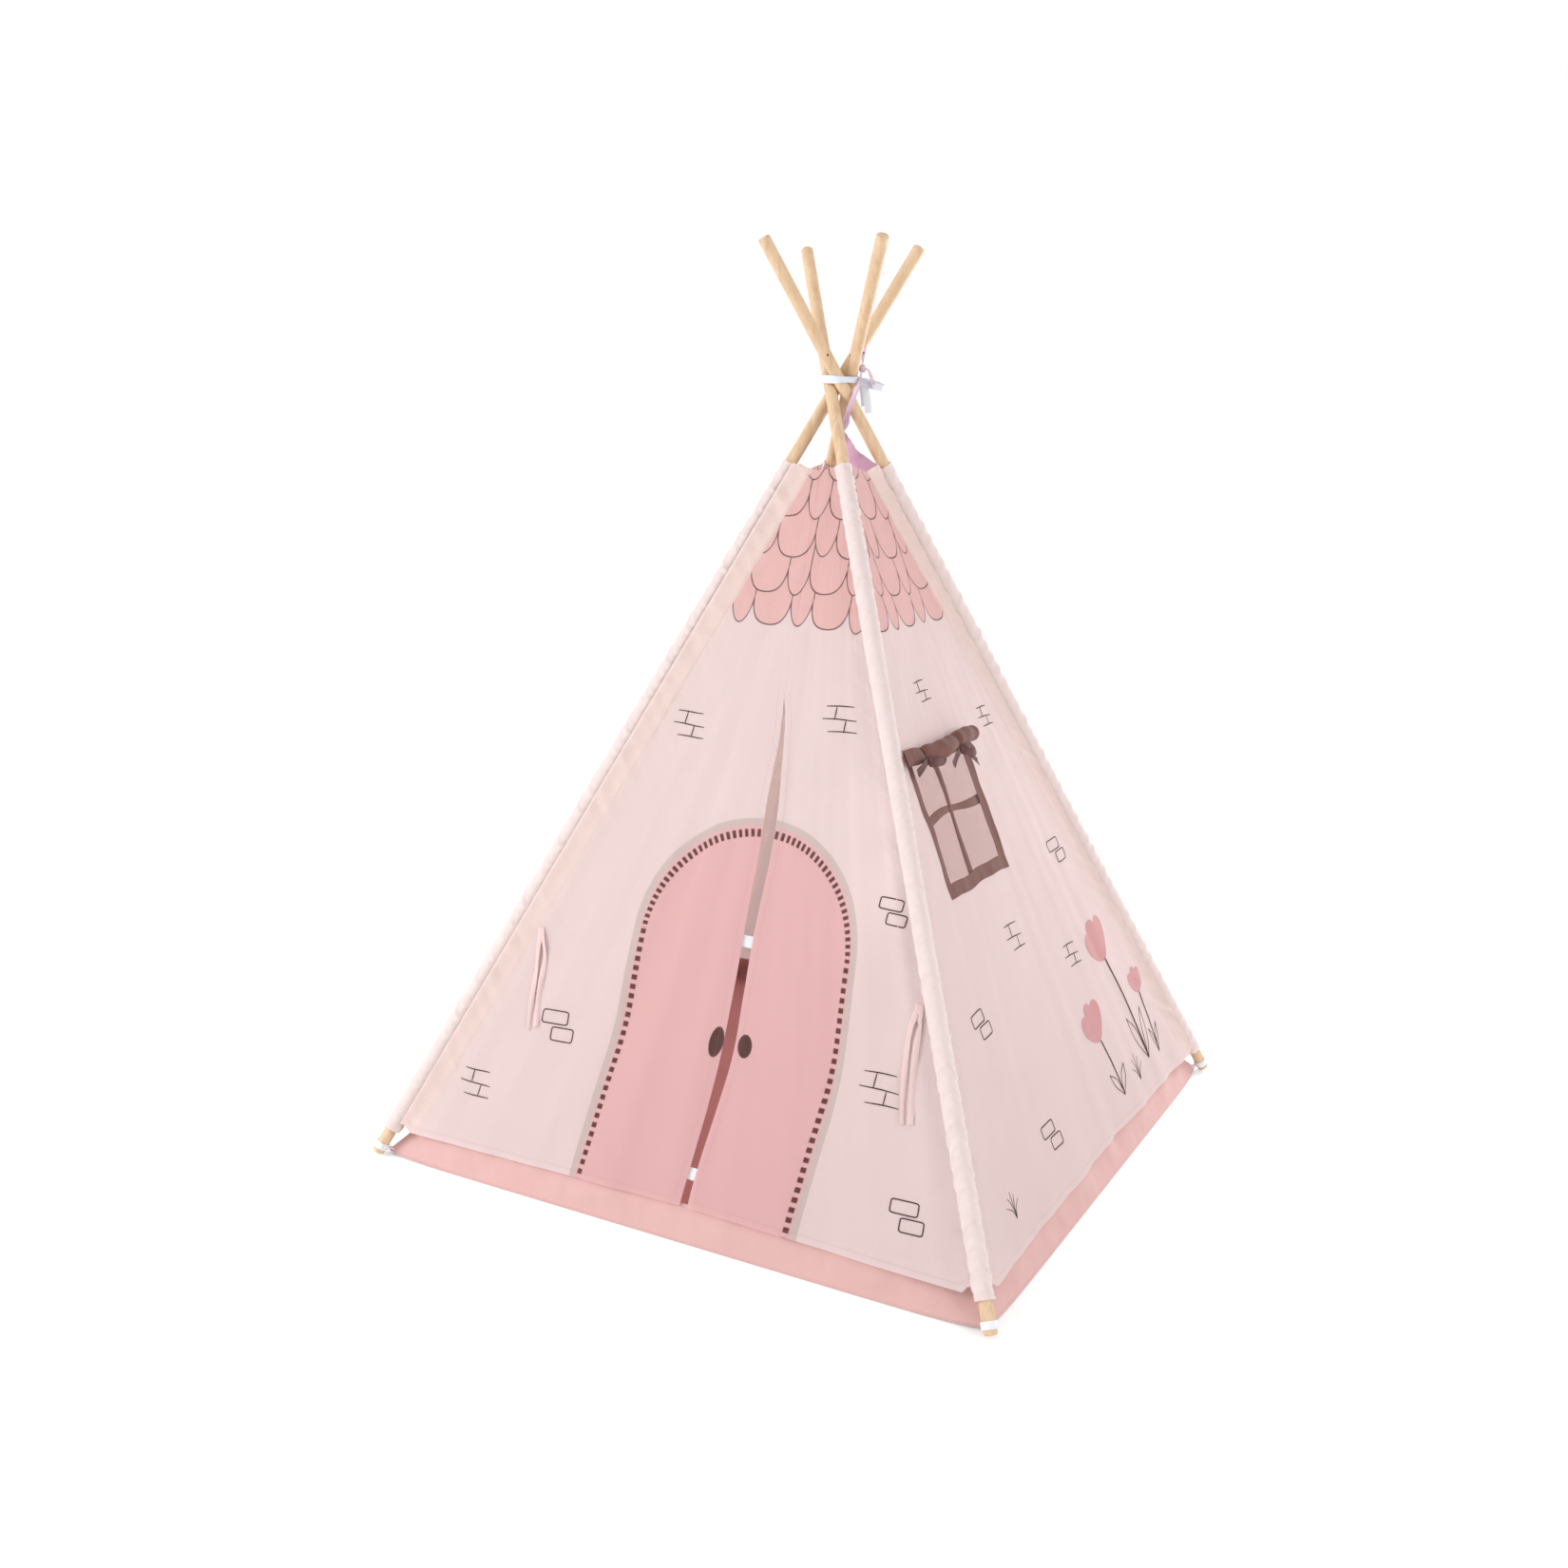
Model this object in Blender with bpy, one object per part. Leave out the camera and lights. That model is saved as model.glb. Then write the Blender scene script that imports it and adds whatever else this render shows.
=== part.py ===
"""A kids' teepee: four tied poles, a sewn cover with a slit door and a window, and a floor mat.

Metres, +Z up. The origin lies on the floor under the crossing of the poles. The door wall faces -Y
and the window wall +X. Corners and walls are counted anticlockwise, from the front right corner and
from the door wall. A wall has its own coordinates, across and down from the crossing and out of the
tent, and its cloth is made in two halves that meet where it creases when the poles are gathered.
"""
import math

import bmesh
import bpy
from mathutils import Matrix, Vector

# The frame of poles
BASE_SIDE = 1.20  # between neighbouring feet, from axis to axis
CROSSING_HEIGHT = 1.38
POLE_HEAD = 0.2867  # above the crossing, along the pole
POLE_DIAMETER = 0.022
POLE_END_ROUND = 0.003
POLE_CLEARANCE = 0.0006  # between two poles where they pass
JOINT_SHARE = 0.5  # place of the ferrule along the pole
SPIGOT_DIAMETER = 0.0198
FERRULE_LENGTH = 0.110
FERRULE_WALL = 0.0008
TIE_HOLE_DIAMETER = 0.004
TIE_HOLE_ABOVE_CROSSING = 0.0617

# The cover
CLOTH = 0.0012
SLEEVE_DIAMETER = 0.028
SLEEVE_BOTTOM = 0.051  # along the pole, from its foot
SLEEVE_TOP_DROP = 0.1603  # below the crossing, along the pole
TOP_EDGE_DIP = 0.010
HEM_RISE = 0.008  # how far the hem lifts in the middle of a wall
TONGUE_RISE = 0.062  # the back wall's top edge, pulled up by the strap
SEAM_GAP = 0.0003  # between neighbouring solids

# Where each wall creases at the hem, across. All creases start at the apex between their poles.
CREASE_AT_HEM = {"door": 0.036, "window": 0.061, "back": 0.0, "left": 0.0}

# The door
SLIT_TOP_SHARE = 0.3695  # of the wall's slope, down from the crossing
SLIT_TOP_ACROSS = 0.022
SLIT_WIDTH = 0.022
# Down the slit, the share of its greatest width
SLIT_SHARES = ((0.0, 0.0), (0.10, 0.55), (0.22, 1.0), (0.36, 0.80), (0.50, 0.62), (0.70, 0.62), (0.92, 0.50), (1.0, 0.30))
DOOR_WIDTH = 0.438  # between the fold lines of the two flaps, at the hem
# Down the slit, the share of its greatest bow to the right
SLIT_BOW = 0.027
BOW_SHARES = ((0.0, 0.0), (0.10, 0.42), (0.22, 0.95), (0.36, 1.0), (0.50, 0.90), (0.70, 0.72), (0.92, 0.30), (1.0, 0.10))
TAB_LAP = 0.011  # sewn behind the left flap
TAB_HEIGHT = 0.020
TAB_SHARES = (0.6619, 0.9231)  # of the wall's slope
TIEBACK_SIDE_GAP = 0.012  # from the sleeve's seam to the ribbon
TIEBACK_TOP_SHARE = 0.6911  # of the wall's slope
TIEBACK_LENGTH = 0.185
TIEBACK_STRAND = 0.008
TIEBACK_SPREAD = 0.009
TIEBACK_HEAD = 0.022

# The window
WINDOW_SLEEVE_GAP = 0.0128  # from the sleeve to the frame's upper corner
WINDOW_TOP_SHARE = 0.4386  # of the wall's slope
WINDOW_WIDTH_SHARE = 0.215  # of the base's side
WINDOW_HEIGHT = 0.246
STILE_WIDTH = 0.010
RAIL_HEIGHT = 0.022
BAR_WIDTH = 0.009
BAR_UPRIGHT_SHARE = 0.43
BAR_CROSS_SHARE = 0.46
TRIM = 0.0008
CURTAIN_RADIUS = 0.017
CURTAIN_PINCH = 0.0135
CURTAIN_OVERHANG = 0.012
CURTAIN_LAP = 0.0015
CURTAIN_TIE_SHARES = (0.20, 0.78)
CURTAIN_TIE_WIDTH = 0.007
CURTAIN_TIE_TAIL = 0.034

# The ribbons at the crossing
RIBBON_WIDTH = 0.010
RIBBON_THICKNESS = 0.0008
RIBBON_CLEARANCE = 0.0006
RIBBON_RISE = 0.011  # above the crossing
BOW_AZIMUTH = math.radians(52)
BOW_LOOP_TURNS = (math.radians(-22), math.radians(75))  # from straight out
BOW_TAIL_TURNS = (math.radians(-30), math.radians(25))
BOW_LOOP = 0.030
BOW_LOOP_OPENING = 0.011
BOW_TAIL = 0.052
KNOT_RADIUS = 0.0062
STRAP_WIDTH = 0.009
STRAP_LAP = 0.020  # sewn to the back wall's tongue
STRAP_RING_HEIGHT = 0.064  # above the crossing
# The strap's way from the tongue to the front left pole, in pole diameters from the crossing.
STRAP_ROUTE_SHARES = (
    (0.36, 0.52, -3.00),
    (0.86, -0.30, -2.50),
    (1.36, -0.84, -1.80),
    (1.61, -0.66, -0.91),
    (1.66, 0.00, -0.09),
    (1.64, 0.48, 0.68),
    (1.57, 0.91, 1.45),
    (1.41, 1.36, 2.27),
)

# The floor mat and its elastic loops
MAT = 0.002
LOOP_WIDTH = 0.012
LOOP_THICKNESS = 0.001
LOOP_FROM_FOOT = 0.014
LOOP_TAB_LENGTH = 0.020

POLE_SIDES = 24
SLEEVE_SIDES = 24
SLEEVE_RINGS = 8
RING_SIDES = 24
ROLL_SIDES = 20
CUT_OVERRUN = 0.01

CORNERS = ("front_right", "back_right", "back_left", "front_left")
WALLS = ("door", "window", "back", "left")
UP = Vector((0, 0, 1))

foot_radius = BASE_SIDE / math.sqrt(2)
pole_radius = POLE_DIAMETER / 2
sleeve_radius = SLEEVE_DIAMETER / 2
crossing = Vector((0, 0, CROSSING_HEIGHT))
wall_tilt = math.atan2(BASE_SIDE / 2, CROSSING_HEIGHT)
slope = CROSSING_HEIGHT / math.cos(wall_tilt)
slit_top = slope * SLIT_TOP_SHARE
tieback_top = slope * TIEBACK_TOP_SHARE
window_top = slope * WINDOW_TOP_SHARE
window_width = BASE_SIDE * WINDOW_WIDTH_SHARE


def clear_scene():
    for obj in list(bpy.data.objects):
        bpy.data.objects.remove(obj, do_unlink=True)


def corner_directions(corner):
    """Outward and clockwise unit vectors, level, at a corner."""
    azimuth = math.radians(90 * corner - 45)
    outward = Vector((math.cos(azimuth), math.sin(azimuth), 0))
    return outward, Vector((math.sin(azimuth), -math.cos(azimuth), 0))


def axis_ends(corner, offset):
    """A pole's axis at floor level and where it passes the crossing, offset clockwise."""
    outward, clockwise = corner_directions(corner)
    return outward * foot_radius, crossing + clockwise * offset


def passing_distance(offset):
    """How far apart the axes of two neighbouring poles pass."""
    foot, top = axis_ends(0, offset)
    next_foot, next_top = axis_ends(1, offset)
    common = (top - foot).cross(next_top - next_foot).normalized()
    return abs((next_foot - foot).dot(common))


def crossing_offset():
    """The clockwise offset at which neighbouring poles just clear each other."""
    wanted = POLE_DIAMETER + POLE_CLEARANCE
    offset = wanted
    for _ in range(20):
        offset *= wanted / passing_distance(offset)
    return offset


def pole_frame(corner):
    """The pole's foot and its unit vectors: the pin axis of its swing, into the tent, and up the pole."""
    ground, top = axis_ends(corner, offset_at_crossing)
    along = (top - ground).normalized()
    outward, clockwise = corner_directions(corner)
    pin = (clockwise - along * along.dot(clockwise)).normalized()
    inward = pin.cross(along)
    if inward.dot(outward) > 0:
        inward.negate()
    tilt = math.acos(along.z)
    foot = ground + along * (pole_radius * math.tan(tilt))
    return foot, pin, inward, along


def pole_matrix(corner, distance=0.0, inset=0.0):
    """The frame of a piece on a pole: Z up the pole, X along its pin, at a distance from the foot."""
    foot, pin, inward, along = pole_frame(corner)
    across = along.cross(pin)
    turned = Matrix((pin, across, along)).transposed().to_4x4()
    return Matrix.Translation(foot + along * distance + inward * inset) @ turned


def wall_axes(wall):
    """Unit vectors across, down and out of a wall."""
    turn = Matrix.Rotation(math.radians(90 * wall), 3, "Z")
    down = Vector((0, -math.sin(wall_tilt), -math.cos(wall_tilt)))
    out = Vector((0, -math.cos(wall_tilt), math.sin(wall_tilt)))
    return turn @ Vector((1, 0, 0)), turn @ down, turn @ out


def wall_point(wall, across, down, out=0.0):
    a, d, n = wall_axes(wall)
    return crossing + a * across + d * down + n * out


def on_wall(wall, point):
    """Across and down coordinates of a point on a wall."""
    a, d, _ = wall_axes(wall)
    rel = point - crossing
    return rel.dot(a), rel.dot(d)


def down_at(height):
    """How far down a wall a height above the floor lies."""
    return (CROSSING_HEIGHT - height) / math.cos(wall_tilt)


def sleeve_matrix(corner, distance=0.0):
    """The frame of a sleeve, whose inner side lies against the pole's outer side."""
    return pole_matrix(corner, distance, inset=sleeve_radius - CLOTH - pole_radius - SEAM_GAP)


def sleeve_edge(wall, side, down):
    """Across coordinate of the cloth's edge beside the sleeve, on the wall's + or - side."""
    corner = wall if side > 0 else (wall - 1) % 4
    low = Vector(on_wall(wall, sleeve_matrix(corner, SLEEVE_BOTTOM).translation))
    high = Vector(on_wall(wall, sleeve_matrix(corner, sleeve_top).translation))
    slope = (high.x - low.x) / (high.y - low.y)
    clear = (sleeve_radius + SEAM_GAP) * math.sqrt(1 + slope * slope)
    return low.x + slope * (down - low.y) - side * clear


def crease(wall, down):
    """Across coordinate of the line where a wall creases. The door wall's bends where its slit starts."""
    start, low = Vector((-offset_at_crossing / math.sqrt(2), 0)), Vector((CREASE_AT_HEM[WALLS[wall]], hem_down))
    if WALLS[wall] == "door":
        bend = Vector((SLIT_TOP_ACROSS, slit_top))
        start, low = (start, bend) if down < slit_top else (bend, low)
    return start.x + (low.x - start.x) * (down - start.y) / (low.y - start.y)


def share_at(table, share):
    """Value of a table of shares between its rows."""
    for (low, low_value), (high, high_value) in zip(table, table[1:]):
        if share <= high or high == 1:
            return low_value + (high_value - low_value) * (share - low) / (high - low)


def slit_edge(side, down):
    """Across coordinate of a flap's free edge, on the slit's + or - side. The slack cloth bows to the right."""
    share = (down - slit_top) / (hem_down - HEM_RISE - slit_top)
    half = max(SEAM_GAP, SLIT_WIDTH * share_at(SLIT_SHARES, share) / 2)
    return crease(0, down) + SLIT_BOW * share_at(BOW_SHARES, share) + side * half


def finish_mesh(name, bm, material, holder=None, smooth=True):
    """Turns a bmesh in world coordinates into a node that sits on its holder."""
    bmesh.ops.remove_doubles(bm, verts=bm.verts, dist=1e-6)
    bmesh.ops.recalc_face_normals(bm, faces=bm.faces)
    mesh = bpy.data.meshes.new(name)
    bm.to_mesh(mesh)
    bm.free()
    obj = bpy.data.objects.new(name, mesh)
    bpy.context.scene.collection.objects.link(obj)
    obj.data.materials.append(materials[material])
    if smooth:
        mesh.shade_smooth()
        mesh.set_sharp_from_angle(angle=math.radians(35))
    if holder is not None:
        mesh.transform(Matrix.Translation(-holder.location))
        obj.parent = holder
    return obj


def turned(name, profile, frame, material, holder=None, sides=RING_SIDES, closed=False):
    """A turned piece: (radius, height) points round the frame's Z axis. A closed profile is a ring."""
    bm = bmesh.new()
    rings = []
    for radius, height in profile:
        rings.append([
            bm.verts.new(frame @ Vector((
                radius * math.cos(2 * math.pi * i / sides),
                radius * math.sin(2 * math.pi * i / sides),
                height,
            )))
            for i in range(sides)
        ])
    pairs = list(zip(rings, rings[1:])) + ([(rings[-1], rings[0])] if closed else [])
    for low, high in pairs:
        for i in range(sides):
            j = (i + 1) % sides
            bm.faces.new((low[i], low[j], high[j], high[i]))
    if not closed:
        bm.faces.new(rings[0])
        bm.faces.new(rings[-1])
    return finish_mesh(name, bm, material, holder)


def plate(name, outline, thickness, material, holder=None):
    """A flat or gently curved plate: a function gives a point for each outline corner and depth."""
    bm = bmesh.new()
    inner = [bm.verts.new(corner(-thickness / 2)) for corner in outline]
    outer = [bm.verts.new(corner(thickness / 2)) for corner in outline]
    bm.faces.new(inner)
    bm.faces.new(outer)
    count = len(outline)
    for i in range(count):
        j = (i + 1) % count
        bm.faces.new((inner[i], inner[j], outer[j], outer[i]))
    return finish_mesh(name, bm, material, holder, smooth=False)


def wall_outline(wall, points, out=0.0):
    """An outline's corners on a wall, each as a function of the depth through the cloth."""
    return [
        lambda depth, across=across, down=down: wall_point(wall, across, down, out + depth)
        for across, down in points
    ]


def wall_box(name, wall, across, down, out, thickness, material, holder=None):
    """A flat rectangle on a wall, from its ranges across and down."""
    corners = ((across[0], down[0]), (across[1], down[0]), (across[1], down[1]), (across[0], down[1]))
    return plate(name, wall_outline(wall, corners, out), thickness, material, holder)


def strip(name, path, widths, thickness, material, holder=None):
    """A ribbon along a path: each point has a vector across the ribbon, and the ribbon's ends are flat."""
    bm = bmesh.new()
    rings = []
    last = len(path) - 1
    for i, (point, wide) in enumerate(zip(path, widths)):
        along = (path[min(i + 1, last)] - path[max(i - 1, 0)]).normalized()
        half = wide / 2
        proud = along.cross(wide).normalized() * (thickness / 2)
        rings.append([bm.verts.new(point + a * half + b * proud) for a, b in ((1, 1), (-1, 1), (-1, -1), (1, -1))])
    for low, high in zip(rings, rings[1:]):
        for i in range(4):
            j = (i + 1) % 4
            bm.faces.new((low[i], low[j], high[j], high[i]))
    bm.faces.new(rings[0])
    bm.faces.new(rings[-1])
    return finish_mesh(name, bm, material, holder)


def smooth_path(points, steps):
    """A curve through the points, by Catmull and Rom's rule."""
    ends = [points[0] * 2 - points[1], *points, points[-1] * 2 - points[-2]]
    found = []
    for p0, p1, p2, p3 in zip(ends, ends[1:], ends[2:], ends[3:]):
        for i in range(steps):
            t = i / steps
            found.append((
                p1 * 2 + (p2 - p0) * t + (p0 * 2 - p1 * 5 + p2 * 4 - p3) * t * t
                + (p1 * 3 - p0 - p2 * 3 + p3) * t ** 3
            ) / 2)
    return found + [points[-1]]


def knot(name, centre, radius, material):
    """A squashed ball with a waist, for a tied knot."""
    bm = bmesh.new()
    bmesh.ops.create_icosphere(bm, subdivisions=2, radius=radius)
    for vert in bm.verts:
        vert.co.z *= 0.85
        vert.co *= 1 - 0.12 * math.cos(3 * math.atan2(vert.co.y, vert.co.x))
    bm.transform(Matrix.Translation(centre))
    return finish_mesh(name, bm, material)


def join_solids(base, parts):
    """Unions the parts into the base, and keeps them as hidden guides."""
    for part in parts:
        combine(base, part, "UNION")
    return base


def combine(base, other, operation):
    other.parent = base.parent
    if base.parent is not None:
        other.data.transform(Matrix.Translation(-base.parent.location))
    other.hide_render = True
    other.display_type = "WIRE"
    boolean = base.modifiers.new(other.name, "BOOLEAN")
    boolean.operation = operation
    boolean.solver = "EXACT"
    boolean.object = other


def holder_at(name, place):
    """An empty on the axis of a moving piece."""
    empty = bpy.data.objects.new(name, None)
    empty.location = place
    bpy.context.scene.collection.objects.link(empty)
    return empty


def make_material(name, colour, roughness, metallic=0.0):
    material = bpy.data.materials.new(name)
    material.use_nodes = True
    shader = material.node_tree.nodes["Principled BSDF"]
    shader.inputs["Base Color"].default_value = (*colour, 1)
    shader.inputs["Roughness"].default_value = roughness
    shader.inputs["Metallic"].default_value = metallic
    return material


def make_materials():
    return {
        "pine": make_material("pine", (0.78, 0.58, 0.36), 0.6),
        "steel": make_material("steel", (0.55, 0.56, 0.58), 0.35, 1.0),
        "cover": make_material("cover", (0.86, 0.68, 0.68), 0.9),
        "sleeve": make_material("sleeve", (0.86, 0.72, 0.68), 0.9),
        "door": make_material("door", (0.80, 0.48, 0.50), 0.9),
        "mat": make_material("mat", (0.76, 0.42, 0.42), 0.9),
        "window_trim": make_material("window_trim", (0.26, 0.15, 0.14), 0.9),
        "white_tape": make_material("white_tape", (0.85, 0.86, 0.90), 0.8),
        "pink_ribbon": make_material("pink_ribbon", (0.80, 0.58, 0.68), 0.8),
    }


def rounded_rod(radius, low, high, low_round, high_round):
    """Profile of a rod whose ends are rounded over by a quarter circle, or square where the round is 0."""
    profile = []
    for end, radius_of_round, sign in ((low, low_round, 1), (high, high_round, -1)):
        arc = [
            (radius - radius_of_round * (1 - math.sin(a)), end + sign * radius_of_round * (1 - math.cos(a)))
            for a in (math.radians(x) for x in ((0, 30, 60, 90) if radius_of_round else (90,)))
        ]
        profile += arc if sign > 0 else arc[::-1]
    return profile


def add_pole(corner, holder):
    """Two turned sections, their turned-down ends meeting inside a steel ferrule."""
    name = CORNERS[corner]
    frame = pole_matrix(corner)
    joint = pole_length * JOINT_SHARE
    low, high = joint - FERRULE_LENGTH / 2, joint + FERRULE_LENGTH / 2
    spigot = SPIGOT_DIAMETER / 2
    lower = rounded_rod(pole_radius, 0, low - SEAM_GAP, POLE_END_ROUND, 0)
    lower += [(spigot, low - SEAM_GAP), (spigot, joint - SEAM_GAP / 2)]
    upper = [(spigot, joint + SEAM_GAP / 2), (spigot, high + SEAM_GAP)]
    upper += rounded_rod(pole_radius, high + SEAM_GAP, pole_length, 0, POLE_END_ROUND)
    turned(f"pole_lower_{name}", lower, frame, "pine", holder, POLE_SIDES)
    section = turned(f"pole_upper_{name}", upper, frame, "pine", holder, POLE_SIDES)
    tube = [
        (spigot + SEAM_GAP, low), (spigot + SEAM_GAP + FERRULE_WALL, low),
        (spigot + SEAM_GAP + FERRULE_WALL, high), (spigot + SEAM_GAP, high),
    ]
    turned(f"ferrule_{name}", tube, frame, "steel", holder, POLE_SIDES, closed=True)
    foot, pin, _, along = pole_frame(corner)
    drill = turned(
        f"tie_hole_{name}",
        [(TIE_HOLE_DIAMETER / 2, -POLE_DIAMETER), (TIE_HOLE_DIAMETER / 2, POLE_DIAMETER)],
        Matrix.Translation(foot + along * (crossing_reach + TIE_HOLE_ABOVE_CROSSING)) @ pin.to_track_quat("Z", "Y").to_matrix().to_4x4(),
        "pine",
        sides=10,
    )
    combine(section, drill, "DIFFERENCE")


def add_sleeve(corner, holder):
    """The cover's tube of cloth round a pole. It lies against the pole's outer side."""
    inside = sleeve_radius - CLOTH
    heights = [SLEEVE_BOTTOM + (sleeve_top - SLEEVE_BOTTOM) * i / SLEEVE_RINGS for i in range(SLEEVE_RINGS + 1)]
    profile = [(sleeve_radius, h) for h in heights] + [(inside, h) for h in reversed(heights)]
    turned(f"sleeve_{CORNERS[corner]}", profile, sleeve_matrix(corner), "sleeve", holder, SLEEVE_SIDES, closed=True)


def half_outline(wall, side):
    """Top edge, crease, hem and sleeve edge of one half of a wall's cloth."""
    top = down_at(sleeve_top_height)
    rise = TONGUE_RISE if WALLS[wall] == "back" else -TOP_EDGE_DIP
    middle = top - rise
    join = -side * SEAM_GAP / 2
    hem_middle = hem_down - HEM_RISE
    at_crease = [(crease(wall, middle) - join, middle), (crease(wall, hem_middle) - join, hem_middle)]
    if WALLS[wall] == "door":
        at_crease[1:] = [(crease(wall, slit_top) - join, slit_top), (fold_foot(side), hem_at(wall, fold_foot(side)))]
    return [
        (sleeve_edge(wall, side, top), top), *at_crease,
        (sleeve_edge(wall, side, hem_down), hem_down),
    ]


def hem_at(wall, across):
    """Down coordinate of the hem, which lifts a little from the sleeves to the crease."""
    side = 1 if across > crease(wall, hem_down) else -1
    outer, inner = sleeve_edge(wall, side, hem_down), crease(wall, hem_down)
    return hem_down - HEM_RISE * (across - outer) / (inner - outer)


def fold_foot(side):
    """Across coordinate where a door flap's fold line meets the hem."""
    return crease(0, hem_down) + side * DOOR_WIDTH / 2


def add_wall_half(wall, side, holder):
    """Half of a wall's cloth, from the sleeve to the crease."""
    corner = CORNERS[wall if side > 0 else (wall - 1) % 4]
    name = f"{WALLS[wall]}_wall_{corner}"
    return plate(name, wall_outline(wall, half_outline(wall, side)), CLOTH, "cover", holder)


def add_flap(side, holder):
    """A door flap: from the slit to the fold line that it turns on."""
    name = "door_flap_" + ("right" if side > 0 else "left")
    start, foot = slit_top + SLIT_WIDTH, hem_down - HEM_RISE
    places = [start] + [slit_top + (foot - slit_top) * share for share, _ in SLIT_SHARES[1:]]
    points = [(slit_edge(side, down), down) for down in places]
    fold = fold_foot(side) - side * 2 * SEAM_GAP
    points.append((fold, hem_at(0, fold)))
    return plate(name, wall_outline(0, points), CLOTH, "door", holder)


def add_door_tab(index, holder):
    """A white tape tab behind the slit, sewn to the left flap and reaching the right one's edge."""
    place = TAB_SHARES[index] * slope
    left = slit_edge(-1, place) - TAB_LAP
    right = slit_edge(1, place) - SEAM_GAP
    down = (place - TAB_HEIGHT / 2, place + TAB_HEIGHT / 2)
    out = -(CLOTH + TRIM) / 2 - SEAM_GAP
    name = "door_tab_" + ("upper", "lower")[index]
    return wall_box(name, 0, (left, right), down, out, TRIM, "white_tape", holder)


def add_tieback(side, holder):
    """A doubled ribbon sewn beside the sleeve, hanging on the door wall, with two strands."""
    name = "tieback_" + ("right" if side > 0 else "left")
    head = sleeve_edge(0, side, tieback_top) - side * TIEBACK_SIDE_GAP
    half, spread = TIEBACK_STRAND / 2, TIEBACK_SPREAD
    low = tieback_top + TIEBACK_LENGTH
    drift = -side * TIEBACK_LENGTH * math.tan(wall_tilt) / 4
    strands = ((-spread, 1.0), (spread, 0.93))
    ends = [(head + drift + x, tieback_top + TIEBACK_LENGTH * share) for x, share in strands]
    fork = tieback_top + TIEBACK_HEAD
    points = [
        (head - half, tieback_top), (head + half, tieback_top), (head + 2 * half, fork),
        (ends[1][0] + half, ends[1][1]), (ends[1][0] - half, ends[1][1]),
        (head, fork + TIEBACK_HEAD / 2), (ends[0][0] + half, low), (ends[0][0] - half, low),
        (head - 2 * half, fork),
    ]
    out = (CLOTH + RIBBON_THICKNESS) / 2 + SEAM_GAP
    return plate(name, wall_outline(0, points, out), RIBBON_THICKNESS, "pink_ribbon", holder)


def window_ranges():
    """The window frame's outer ranges across and down the window wall."""
    return (window_left, window_left + window_width), (window_top, window_top + WINDOW_HEIGHT)


def add_window(wall_half, holder):
    """The opening, its sewn surround, and the two bars that cross it."""
    (left, right), (top, bottom) = window_ranges()
    inner_across = (left + STILE_WIDTH, right - STILE_WIDTH)
    inner_down = (top + STILE_WIDTH, bottom - RAIL_HEIGHT)
    deep = (CLOTH + TRIM) * 4
    combine(wall_half, wall_box("window_cut", 1, inner_across, inner_down, 0, deep, "cover"), "DIFFERENCE")
    out = (CLOTH + TRIM) / 2 + SEAM_GAP
    surround = wall_box("window_surround", 1, (left, right), (top, bottom), out, TRIM, "window_trim", holder)
    combine(surround, wall_box("surround_cut", 1, inner_across, inner_down, out, deep, "window_trim"), "DIFFERENCE")
    middle = left + window_width * BAR_UPRIGHT_SHARE
    level = top + WINDOW_HEIGHT * BAR_CROSS_SHARE
    half = BAR_WIDTH / 2
    lap = STILE_WIDTH * 0.7
    wall_box(
        "window_bar_upright", 1, (middle - half, middle + half), (inner_down[0] - lap, inner_down[1] + lap),
        -out, TRIM, "window_trim", holder,
    )
    wall_box(
        "window_bar_cross", 1, (inner_across[0] - lap, inner_across[1] + lap), (level - half, level + half),
        -out - TRIM - SEAM_GAP, TRIM, "window_trim", holder,
    )


def curtain_axis():
    """The rolled curtain's axis: its frame with Z across the wall, and its length."""
    (left, right), (top, _) = window_ranges()
    out = CLOTH / 2 + TRIM + 2 * SEAM_GAP + CURTAIN_RADIUS + CURTAIN_LAP
    a, d, n = wall_axes(1)
    turn = Matrix((d, n, a)).transposed().to_4x4()
    start = wall_point(1, left - CURTAIN_OVERHANG / 2, top, out)
    return Matrix.Translation(start) @ turn, right - left + CURTAIN_OVERHANG


def add_curtain(holder):
    """The curtain, rolled up over the window: its cloth's end lies along the roll as a step."""
    frame, length = curtain_axis()
    stations = [0.0]
    for share in CURTAIN_TIE_SHARES:
        stations += [share - 0.09, share - 0.02, share + 0.02, share + 0.09]
    stations.append(1.0)
    radii = [CURTAIN_RADIUS] + [CURTAIN_RADIUS, CURTAIN_PINCH, CURTAIN_PINCH, CURTAIN_RADIUS] * 2 + [CURTAIN_RADIUS]
    bm = bmesh.new()
    rings = []
    for share, radius in zip(stations, radii):
        ring = []
        for i in range(ROLL_SIDES + 1):
            turn = 2 * math.pi * i / ROLL_SIDES
            lap = CURTAIN_LAP * i / ROLL_SIDES if radius == CURTAIN_RADIUS else 0
            angle = min(turn, 2 * math.pi - 0.02)
            reach = radius + lap
            ring.append(bm.verts.new(frame @ Vector((reach * math.cos(angle), reach * math.sin(angle), length * share))))
        rings.append(ring)
    for low, high in zip(rings, rings[1:]):
        for i in range(ROLL_SIDES + 1):
            j = (i + 1) % (ROLL_SIDES + 1)
            bm.faces.new((low[i], low[j], high[j], high[i]))
    bm.faces.new(rings[0])
    bm.faces.new(rings[-1])
    finish_mesh("window_curtain", bm, "window_trim", holder)
    for index, share in enumerate(CURTAIN_TIE_SHARES):
        add_curtain_tie(index, frame @ Matrix.Translation((0, 0, length * share)), holder)


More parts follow.
